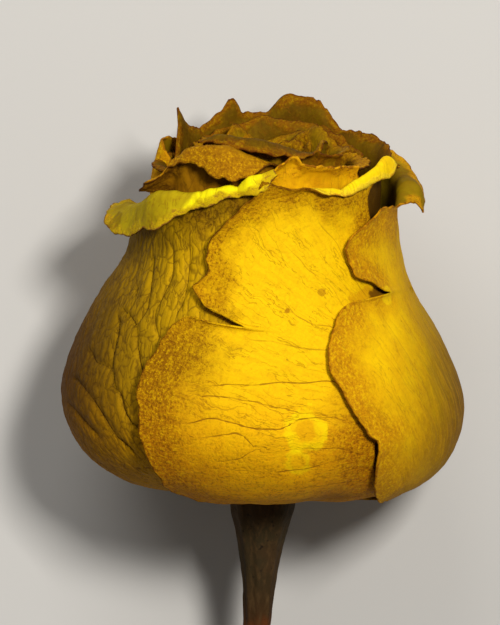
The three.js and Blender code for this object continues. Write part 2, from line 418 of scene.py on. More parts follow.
@dataclass
class Petal:
    """One petal: where it stands, its outline and how it has dried.

    Attributes:
        name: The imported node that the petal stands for.
        middle: Degrees round the bloom of its middle line.
        side: Its whorl's side view.
        left: Half-width in degrees to the left of the middle line, at shares of the side.
        right: The same to the right.
        rim: The share of the side that the petal reaches, from its left edge at -1 to its right at 1.
        lip: How far the margin rolls outwards in degrees, and the rolled length, across the petal.
        fold: The share of the lip in which it turns.
        wave: Size, cycles and phase of the rim's wave.
        lift: How far the left and right edges stand off.
        rests: True where the petal lies on the surface under the bloom.
        grid: Columns and rows of the finished mesh.
        finish: Index of the finish for its outside.
        fan: Degrees and share where its fibres start.
        veins: Its main veins, or none to grow some.
        crease: Depth of the furrow along a main vein in mm.
        tears: Its tears.
        ragged: How uneven its edges are.
        crinkle: How far its margin is crinkled.
        pushes: Local swellings and dents.
        seed: Which clouds it reads.
    """

    WAVE_FROM = (0.6, 0.4)
    LIFT_FROM = (0.2, 0.2)
    LIFT_BEND = 5
    REST_REACH = 8.0
    REST_STEEPEST = 60.0

    name: str
    middle: float
    side: WhorlSide
    left: Stops
    right: Stops
    rim: Stops
    lip: Stops
    fold: float
    wave: tuple[float, float, float]
    lift: tuple[float, float]
    grid: tuple[int, int]
    finish: str
    rests: bool = False
    fan: tuple[float, float] = (0.0, -0.1)
    veins: tuple[Vein, ...] = ()
    crease: float = 0.08
    tears: tuple[Tear, ...] = ()
    ragged: float = 0.16
    crinkle: float = 0.16
    pushes: tuple[Push, ...] = ()
    slot: Slot = Slot.OUTER
    seed: int = 0

    def middle_surface(self, across: np.ndarray, along: np.ndarray) -> tuple[np.ndarray, ...]:
        """Find the petal's middle surface.

        Args:
            across: From -1 at the left edge to 1 at the right.
            along: From 0 at the seat to 1 at the rim.

        Returns:
            Rows of x, y and z, the angle of each in degrees, its share of the side, and the side's
            length.
        """
        reach = smooth_value(self.rim, across)
        share = along * reach
        width = np.where(across < 0, smooth_value(self.left, share), smooth_value(self.right, share))
        turn = across * width
        angle = self.middle + turn
        length = self.side.length(angle)
        for tear in self.tears:
            share = tear.slanted(turn, share)
        spot = self.side.point(angle, share)

        lip_share = smooth_value(self.lip, across, 2) / length
        lip_start = reach - lip_share
        roll = np.radians(smooth_value(self.lip, across, 1))
        step = np.maximum(share - lip_start, 0.0) / LIP_STEPS
        for k in range(LIP_STEPS):
            s = lip_start + (k + 0.5) * step
            old = self.side.heading(angle, s)
            rolled = old - roll * smooth_step((s - lip_start) / (lip_share * self.fold))
            spot[:, 0] += (np.cos(rolled) - np.cos(old)) * step * length
            spot[:, 1] += (np.sin(rolled) - np.sin(old)) * step * length

        layer = -LAYER_STEP * turn / WHORL_TURN
        size, cycles, phase = self.wave
        waving = smooth_step((along - self.WAVE_FROM[0]) / self.WAVE_FROM[1])
        wave = size * waving * np.sin(cycles * across * math.pi + phase)
        lift = np.where(across < 0, self.lift[0], self.lift[1]) * np.abs(across) ** self.LIFT_BEND
        lift = lift * smooth_step((share - self.LIFT_FROM[0]) / self.LIFT_FROM[1])
        outwards = layer + wave + lift
        heading = self.side.heading(angle, share)
        radius = spot[:, 0] + np.sin(heading) * outwards
        height = spot[:, 1] - np.cos(heading) * outwards
        if self.rests:
            limit = rest_limit(angle, height) - LAYER_STEP + layer
            close = limit < radius + self.REST_REACH
            room = np.clip((limit - radius) / REST_SOFTNESS, -self.REST_STEEPEST, self.REST_STEEPEST)
            eased = np.where(close, limit, 0.0) - REST_SOFTNESS * np.log1p(np.exp(room))
            radius = np.where(close, eased, radius)
        turned = np.radians(angle)
        points = np.stack([radius * np.sin(turned), -radius * np.cos(turned), height], axis=1)
        return points, angle, share, length


class Placement:
    """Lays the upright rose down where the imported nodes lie."""

    def __init__(self) -> None:
        """Match the stem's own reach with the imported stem's box."""
        _, high = (Vector(corner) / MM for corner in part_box("stem"))
        self.turn = Matrix.Rotation(LEAN - math.pi / 2, 3, "X")
        heights, radii = (np.array(column) for column in zip(*STEM_OUTLINE))
        self.shift = Vector((
            high.x - float(np.max(radii + stem_sway(heights))),
            high.y - float(np.max(radii * math.sin(LEAN) + heights * math.cos(LEAN))),
            high.z - float(np.max(radii * math.cos(LEAN) + heights * math.sin(LEAN))),
        ))

    def laid(self, points: np.ndarray) -> np.ndarray:
        """Turn upright millimetres into packed metres.

        Args:
            points: Rows of x, y and z in the rose's own frame.

        Returns:
            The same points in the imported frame.
        """
        turned = points @ np.array(self.turn).T + np.array(self.shift)
        return turned * MM


# The stem with the swollen seat that the petals grow from: height and radius down its length.
STEM_OUTLINE: Stops = (
    (3.1, 0.0), (2.9, 2.6), (2.3, 3.9), (1.2, 4.5), (-0.6, 4.3), (-3.2, 3.6), (-5.6, 3.05), (-8.0, 2.6),
    (-11.0, 2.25), (-16.0, 1.9), (-40.0, 1.85), (-58.0, 1.9), (-62.0, 2.35), (-65.0, 2.15),
    (-70.0, 1.95),
    (-95.0, 1.98), (-STEM_LENGTH, STEM_RADIUS), (-STEM_LENGTH, 0.0),
)


def stem_sway(height: np.ndarray) -> np.ndarray:
    """Find how far the stem's line stands to the side.

    Args:
        height: Heights in the rose's own frame, negative below the petals' seats.

    Returns:
        The sideways offset at each height.
    """
    swing = -SWAY * np.sin(-height / STEM_LENGTH * SWAY_TURN)
    return np.where(height > 0, 0.0, swing + height * SWAY_SLANT)


class Weave:
    """Builds a node tree, a shader or a geometry one, a node at a time."""

    def __init__(self, tree: bpy.types.NodeTree) -> None:
        """Start on an empty tree.

        Args:
            tree: The tree to build in.
        """
        self.tree = tree
        tree.nodes.clear()

    def add(self, kind: str, settings: dict | None = None, **inputs: object) -> bpy.types.Node:
        """Add a node.

        Args:
            kind: The node's type name.
            settings: Its properties.
            inputs: Its inputs, by name with underscores, as values or as the sockets that feed them.

        Returns:
            The node.
        """
        node = self.tree.nodes.new(kind)
        for name, value in (settings or {}).items():
            setattr(node, name, value)
        for name, value in inputs.items():
            self.feed(node.inputs[name.replace("_", " ")], value)
        return node

    def feed(self, socket: Socket, value: object) -> None:
        """Link a socket, or set it where the value is a plain one.

        Args:
            socket: The input to feed.
            value: The socket or plain value that feeds it, or none to leave it.
        """
        if isinstance(value, Socket):
            self.tree.links.new(value, socket)
        elif value is not None:
            socket.default_value = value

    def math(self, operation: str, first: object, second: object = None) -> Socket:
        """Work out one number from one or two.

        Args:
            operation: The sum's name.
            first: Its first number.
            second: Its second number, if it takes two.

        Returns:
            The result's socket.
        """
        node = self.add("ShaderNodeMath", {"operation": operation})
        self.feed(node.inputs[0], first)
        self.feed(node.inputs[1], second)
        return node.outputs[0]

    def fade(
        self, value: object, low: float, high: float, start: float = 0.0, end: float = 1.0
    ) -> Socket:
        """Ease from one number to another as a value rises.

        Args:
            value: The value.
            low: Where the easing starts.
            high: Where it ends.
            start: The number up to low.
            end: The number from high on.

        Returns:
            The eased number's socket.
        """
        node = self.add("ShaderNodeMapRange", {"interpolation_type": "SMOOTHSTEP"}, Value=value)
        for name, number in (("From Min", low), ("From Max", high), ("To Min", start), ("To Max", end)):
            self.feed(node.inputs[name], number)
        return node.outputs[0]

    def scaled(self, vector: Socket, scale: tuple[float, float, float]) -> Socket:
        """Stretch a vector along its axes.

        Args:
            vector: The vector.
            scale: How far along x, y and z.

        Returns:
            The stretched vector's socket.
        """
        node = self.add("ShaderNodeVectorMath", {"operation": "MULTIPLY"})
        self.feed(node.inputs[0], vector)
        node.inputs[1].default_value = scale
        return node.outputs[0]

    def shifted(self, vector: Socket, other: object) -> Socket:
        """Add two vectors.

        Args:
            vector: The first.
            other: The second.

        Returns:
            The sum's socket.
        """
        node = self.add("ShaderNodeVectorMath", {"operation": "ADD"})
        self.feed(node.inputs[0], vector)
        self.feed(node.inputs[1], other)
        return node.outputs[0]

    def noise(self, vector: Socket, scale: float, detail: float = 3.0, roughness: float = 0.5) -> Socket:
        """Read noise.

        Args:
            vector: Where to read it.
            scale: How fine it is, with lumps about one over the scale wide.
            detail: How many finer layers it has.
            roughness: How strong they are.

        Returns:
            The noise's socket, from 0 to 1 and mostly near 0.5.
        """
        node = self.add("ShaderNodeTexNoise", Vector=vector, Scale=scale, Detail=detail)
        node.inputs["Roughness"].default_value = roughness
        return node.outputs[0]

    def edges(self, vector: Socket) -> Socket:
        """Read how far each point is from the nearest border between irregular cells.

        Args:
            vector: Where to read it, with cells about one wide.

        Returns:
            The distance's socket.
        """
        feature = {"feature": "DISTANCE_TO_EDGE"}
        node = self.add("ShaderNodeTexVoronoi", feature, Vector=vector, Scale=1.0, Randomness=0.9)
        return node.outputs["Distance"]

    def mix(self, factor: object, low: object, high: object) -> Socket:
        """Mix two colours.

        Args:
            factor: How much of the second shows, from 0 to 1.
            low: The first.
            high: The second.

        Returns:
            The mixed colour's socket.
        """
        node = self.add("ShaderNodeMix", {"data_type": "RGBA", "blend_type": "MIX"}, Factor=factor)
        for socket, value in ((node.inputs[6], low), (node.inputs[7], high)):
            self.feed(socket, (*value, 1.0) if isinstance(value, tuple) else value)
        return node.outputs[2]

    def dull_surface(self, colour: Socket, height: Socket) -> None:
        """Finish a shader as a dull surface with fine relief.

        Args:
            colour: Its colour.
            height: Its relief in mm.
        """
        bump = self.add("ShaderNodeBump", Strength=1.0, Distance=MM, Height=height)
        shader = self.add("ShaderNodeBsdfPrincipled", Roughness=DULL_ROUGHNESS)
        shader.inputs["Specular IOR Level"].default_value = DULL_SPECULAR
        self.feed(shader.inputs["Base Color"], colour)
        self.feed(shader.inputs["Normal"], bump.outputs[0])
        out = self.add("ShaderNodeOutputMaterial")
        self.feed(out.inputs["Surface"], shader.outputs[0])


def read_attribute(weave: Weave, name: str) -> Socket:
    """Read a stored vector in a shader or geometry tree.

    Args:
        weave: The tree to build in.
        name: The attribute's name.

    Returns:
        The vector's socket.
    """
    if weave.tree.type == "GEOMETRY":
        kind = {"data_type": "FLOAT_VECTOR"}
        return weave.add("GeometryNodeInputNamedAttribute", kind, Name=name).outputs[0]
    return weave.add("ShaderNodeAttribute", {"attribute_name": name}).outputs["Vector"]


@dataclass(frozen=True)
class Net:
    """The fine net that the tissue puckers round as it dries.

    Attributes:
        cell: Length and width of its spaces in mm.
        bend: How far its lines wander in mm.
    """

    cell: tuple[float, float] = (3.0, 1.4)
    bend: float = 1.6

    def read(self, weave: Weave) -> tuple[Socket, ...]:
        """Read the net.

        Args:
            weave: The tree to build in.

        Returns:
            The distance to the net's lines as a share of a cell, the place on the fan, and the distance
            to the petal's edge in mm.
        """
        vector = read_attribute(weave, "fibres")
        parts = weave.add("ShaderNodeSeparateXYZ", Vector=vector)
        flat = weave.add("ShaderNodeCombineXYZ", X=parts.outputs[0], Y=parts.outputs[1]).outputs[0]
        wander = weave.add("ShaderNodeTexNoise", Vector=flat, Scale=0.3, Detail=3.0).outputs["Color"]
        bent = weave.shifted(flat, weave.scaled(wander, (2.5 * self.bend, self.bend, 0.0)))
        net = weave.edges(weave.scaled(bent, (1 / self.cell[0], 1 / self.cell[1], 0.0)))
        return net, bent, parts.outputs[2]


@dataclass(frozen=True)
class Spot:
    """A mark on the tissue: a stain, a blemish, a patch of painted shade or a painted highlight.

    Attributes:
        place: Where its middle is on the laid rose, in mm.
        radius: How large it is, in mm.
        colour: Its colour.
        hollow: How plain its middle stays, from 0 for a filled spot to 1 for a ring.
        strength: How strongly it shows.
    """

    place: tuple[float, float, float]
    radius: float
    colour: Colour
    hollow: float
    strength: float

    def laid(self, w: Weave, place: Socket, speckle: Socket, body: Socket) -> Socket:
        """Lay the spot over the tissue's colour.

        Args:
            w: The shader tree.
            place: The point's place in mm.
            speckle: Fine noise that roughens its outline.
            body: The colour so far.

        Returns:
            The colour with the spot.
        """
        node = w.add("ShaderNodeVectorMath", {"operation": "DISTANCE"}, Vector=place)
        node.inputs[1].default_value = self.place
        ripple = w.math("MULTIPLY", w.noise(place, 0.6, 3.0), self.radius * 0.9)
        away = w.math("ADD", w.math("SUBTRACT", node.outputs["Value"], ripple), self.radius * 0.45)
        rough = w.math("MULTIPLY", w.math("SUBTRACT", speckle, 0.5), self.radius * 0.7)
        away = w.math("ADD", away, rough)
        filled = w.fade(away, self.radius * 0.75, self.radius, 1.0, 0.0)
        middle = w.fade(away, self.radius * 0.35, self.radius * 0.7, 1.0 - self.hollow, 1.0)
        amount = w.math("MULTIPLY", w.math("MULTIPLY", filled, middle), self.strength)
        return w.mix(amount, body, self.colour)


@dataclass(frozen=True)
class PetalFinish:
    """The look of dried petal tissue.

    Attributes:
        name: The material's name.
        ground: Colour of the petal's middle.
        shade: Colour of its darker patches.
        margin: Colour of the band along its edges.
        edge: Colour of the edge itself.
        vein: Colour of the veins.
        net: The fine net's spacing.
        margin_width: How far in the margin's colour reaches, in mm.
        vein_width: Half-width of the main veins in mm.
        vein_strength: How dark the main veins are.
        hair_strength: How dark the hair-fine fibres are.
        net_strength: How dark the fine net is.
        pucker: Height of the tissue between the net's lines in mm.
        grain: Depth of the sandpaper grain in mm.
        foot_shading_reach: How far up the laid rose the lower part's painted shade, on a browner tone,
            fades out, in mm.
        foot: How much of the margin's or its own colour that painted lower part takes.
        foot_shading_colour: The painted lower part's own colour, if any.
        margin_aloft: How wide the margin's colour stays on the petal's upper half, as a share.
        aloft_colour: The margin's colour up there, if it differs.
        side_shading_slant: How far right the border of the painted side shading moves for each mm up.
        grain_hollow_shade: How much painted shade darkens the hollows of the grain's relief, most along
            the margins.
        bright: Colour of the painted highlight on the high points of the grain's relief, where it isn't
            the ground's.
        side_shading: The colour it turns to towards the right, if any: painted light and shade across the
            bloom.
        side_shading_from: Where that colour starts and is full, in mm from the middle.
        spots: Stains and blemishes, and patches of painted shade and painted highlight.
    """

    name: str
    ground: Colour
    shade: Colour
    margin: Colour
    edge: Colour
    vein: Colour
    net: Net = Net()
    margin_width: float = 7.0
    vein_width: float = 0.10
    vein_strength: float = 0.7
    hair_strength: float = 0.3
    net_strength: float = 0.12
    pucker: float = 0.05
    grain: float = 0.05
    foot_shading_reach: tuple[float, float] = (25.0, 46.0)
    foot: float = 0.75
    foot_shading_colour: Colour | None = None
    margin_aloft: float = 1.0
    aloft_colour: Colour | None = None
    side_shading_slant: float = 0.0
    grain_hollow_shade: float = 0.6
    bright: Colour | None = None
    side_shading: Colour | None = None
    side_shading_from: tuple[float, float] = (-15.0, -9.0)
    spots: tuple[Spot, ...] = ()

    ALOFT = (46.0, 58.0)
    NET_WIDTH = 0.10

    def material(self) -> bpy.types.Material:
        """Build the shader.

        Returns:
            The finished material.
        """
        made = bpy.data.materials.new(self.name)
        made.use_nodes = True
        w = Weave(made.node_tree)
        place = w.scaled(w.add("ShaderNodeTexCoord").outputs["Object"], (1 / MM,) * 3)
        net, fan, margin = self.net.read(w)

        patches = w.fade(w.noise(place, 0.13, 5.0, 0.62), 0.36, 0.66)
        mottle = w.noise(place, 0.75, 4.0, 0.6)
        drift = w.math("MULTIPLY", w.math("SUBTRACT", w.noise(place, 0.3, 3.0), 0.5), 6.0)
        up = w.math("ADD", self._along(w, place, 1), drift)
        reach = w.fade(up, *self.ALOFT, self.margin_width, self.margin_width * self.margin_aloft)
        inward = w.math("DIVIDE", w.math("ADD", margin, drift), reach)
        nearness = w.fade(inward, 0.15, 1.0, 1.0, 0.0)
        # Painted shading on the lower part of the laid rose, fading out upwards: mostly darker and
        # browner, where light falls off under the bloom.
        low = w.fade(up, *self.foot_shading_reach, self.foot, 0.0)
        # The margins and the painted lower part both strengthen the grain's painted shade and highlight.
        old = w.math("MAXIMUM", nearness, low)
        aged = w.fade(mottle, 0.35, 0.62, 0.80, 0.97)
        body = w.mix(w.math("MULTIPLY", patches, 0.7), self.ground, self.shade)
        # Painted light and shade across the bloom: lighter or darker towards the right of the laid rose.
        body = self._side_shaded(w, place, body)
        streaks = w.fade(w.noise(w.scaled(fan, (0.22, 2.0, 0.0)), 1.0, 4.0, 0.65), 0.40, 0.66)
        body = w.mix(w.math("MULTIPLY", streaks, 0.32), body, self.shade)
        band = w.mix(w.fade(up, *self.ALOFT), self.margin, self.aloft_colour or self.margin)
        body = w.mix(w.math("MULTIPLY", nearness, aged), body, band)
        # Lay the lower part's painted shading, in its own colour or the margin's.
        body = w.mix(w.math("MULTIPLY", low, aged), body, self.foot_shading_colour or self.margin)

        wrinkle = w.add("ShaderNodeCombineXYZ", X=w.math("MULTIPLY", margin, 1.9)).outputs[0]
        wrinkle = w.noise(w.shifted(w.scaled(place, (0.9,) * 3), wrinkle), 1.0, 4.0, 0.66)
        coarse = w.noise(place, 2.6, 5.0, 0.7)
        lumps = w.math("ADD", w.math("MULTIPLY", coarse, 0.65), w.math("MULTIPLY", wrinkle, 0.35))
        fine = w.noise(place, 4.4, 3.0, 0.75)
        # Painted shade in the hollows of the grain's relief and painted highlight on its high points, over
        # the bump that shapes the same relief.
        hollows = w.fade(lumps, 0.41, 0.49, 1.0, 0.0)
        painted_hollow_shade = w.math("MULTIPLY", hollows, w.fade(old, 0.0, 1.0, 0.12, self.grain_hollow_shade))
        body = w.mix(painted_hollow_shade, body, self.edge)
        painted_top_highlight = w.math("MULTIPLY", w.fade(lumps, 0.51, 0.58), w.fade(old, 0.0, 1.0, 0.10, 0.6))
        body = w.mix(painted_top_highlight, body, self.bright or self.ground)
        fleck = w.fade(fine, 0.56, 0.70)
        body = w.mix(w.math("MULTIPLY", fleck, w.fade(old, 0.0, 1.0, 0.10, 0.40)), body, self.edge)
        for spot in self.spots:
            body = spot.laid(w, place, mottle, body)

        hairs = w.noise(w.scaled(fan, (0.10, 0.85, 0.0)), 1.0, 4.0, 0.6)
        hair = w.math("ABSOLUTE", w.math("SUBTRACT", hairs, 0.5))
        faint = w.fade(w.noise(place, 0.25, 3.0), 0.38, 0.52)
        hair = w.math("MULTIPLY", w.fade(hair, 0.0, 0.012, 1.0, 0.0), faint)
        body = w.mix(w.math("MULTIPLY", hair, self.hair_strength), body, self.vein)
        mesh = w.math("MULTIPLY", w.fade(net, 0.0, self.NET_WIDTH, 1.0, 0.0), w.fade(mottle, 0.38, 0.52))
        body = w.mix(w.math("MULTIPLY", mesh, self.net_strength), body, self.vein)
        line = self._veins(w, place)
        body = w.mix(w.math("MULTIPLY", line, self.vein_strength), body, self.vein)
        rim = w.fade(w.math("ADD", margin, w.math("MULTIPLY", coarse, 0.5)), 0.30, 0.55, 1.0, 0.0)
        beads = w.mix(w.fade(mottle, 0.46, 0.56), self.edge, self.margin)
        body = w.mix(w.math("MULTIPLY", rim, 0.85), body, beads)

        rough = w.math("ADD", w.math("MULTIPLY", lumps, 1.1), w.math("MULTIPLY", fine, 0.35))
        rough = w.math("MULTIPLY", rough, w.fade(old, 0.0, 1.0, self.grain * 0.9, self.grain * 4.0))
        cut = w.math("MULTIPLY", w.math("ADD", line, w.math("MULTIPLY", hair, 0.5)), -0.05)
        sunk = w.math("MULTIPLY", w.fade(net, 0.0, 0.35), self.pucker * 0.6)
        height = w.math("ADD", w.math("ADD", rough, cut), sunk)
        w.dull_surface(body, height)
        return made

    @staticmethod
    def _along(w: Weave, place: Socket, axis: int) -> Socket:
        """Read one of a point's distances in mm: 0 across the laid rose, 1 up it."""
        return w.add("ShaderNodeSeparateXYZ", Vector=place).outputs[axis]

    def _side_shaded(self, w: Weave, place: Socket, body: Socket) -> Socket:
        """Paint side shading on the tissue: turn it to another colour, lighter or darker, towards the
        right.

        Args:
            w: The shader tree.
            place: The point's place in mm.
            body: The colour so far.

        Returns:
            The colour with the painted side shading.
        """
        if self.side_shading is None:
            return body
        across = self._along(w, place, 0)
        slanted = w.math("MULTIPLY", self._along(w, place, 1), self.side_shading_slant)
        aside = w.math("SUBTRACT", across, slanted)
        return w.mix(w.fade(aside, *self.side_shading_from), body, self.side_shading)

    def _veins(self, w: Weave, place: Socket) -> Socket:
        """Draw the main veins as thin lines that thicken and fade along their way.

        Args:
            w: The shader tree.
            place: The point's place in mm.

        Returns:
            How strongly a vein shows at each point.
        """
        parts = w.add("ShaderNodeSeparateXYZ", Vector=read_attribute(w, "veins"))
        nearest = w.math("ROUND", parts.outputs[0])
        away = w.math("ABSOLUTE", w.math("SUBTRACT", parts.outputs[0], nearest))
        away = w.math("MULTIPLY", away, parts.outputs[1])
        uneven = w.math("MULTIPLY", w.noise(place, 0.9, 2.0), self.vein_width * 0.8)
        away = w.math("SUBTRACT", away, uneven)
        line = w.fade(away, 0.0, self.vein_width, 1.0, 0.0)
        worn = w.fade(w.noise(place, 0.4, 2.0), 0.3, 0.55, 0.35, 1.0)
        return w.math("MULTIPLY", w.math("MULTIPLY", line, parts.outputs[2]), worn)

    def puckering(self) -> bpy.types.NodeTree:
        """Build the geometry nodes that swell the tissue between the net's lines.

        Returns:
            The node group, for a Nodes modifier.
        """
        group = bpy.data.node_groups.new(self.name + "_puckering", "GeometryNodeTree")
        group.interface.new_socket("Geometry", in_out="INPUT", socket_type="NodeSocketGeometry")
        group.interface.new_socket("Geometry", in_out="OUTPUT", socket_type="NodeSocketGeometry")
        w = Weave(group)
        entry = w.add("NodeGroupInput")
        net, _, margin = self.net.read(w)
        swollen = w.fade(net, 0.0, 0.4, 0.0, self.pucker)
        held = w.fade(margin, 0.0, 1.5)
        amount = w.math("MULTIPLY", w.math("MULTIPLY", swollen, held), MM)
        normal = w.add("GeometryNodeInputNormal").outputs[0]
        offset = w.add("ShaderNodeVectorMath", {"operation": "SCALE"}, Vector=normal, Scale=amount)
        moved = w.add("GeometryNodeSetPosition", Geometry=entry.outputs[0], Offset=offset.outputs[0])
        leave = w.add("NodeGroupOutput")
        w.feed(leave.inputs[0], moved.outputs[0])
        return group


GOLD = PetalFinish(
    name="petal_gold",
    ground=(0.84, 0.52, 0.002),
    shade=(0.76, 0.37, 0.002),
    margin=(0.42, 0.155, 0.002),
    edge=(0.14, 0.04, 0.002),
    vein=(0.24, 0.085, 0.003),
    net=Net(cell=(2.6, 1.1)),
    margin_width=9.0,
    net_strength=0.10,
    pucker=0.02,
)

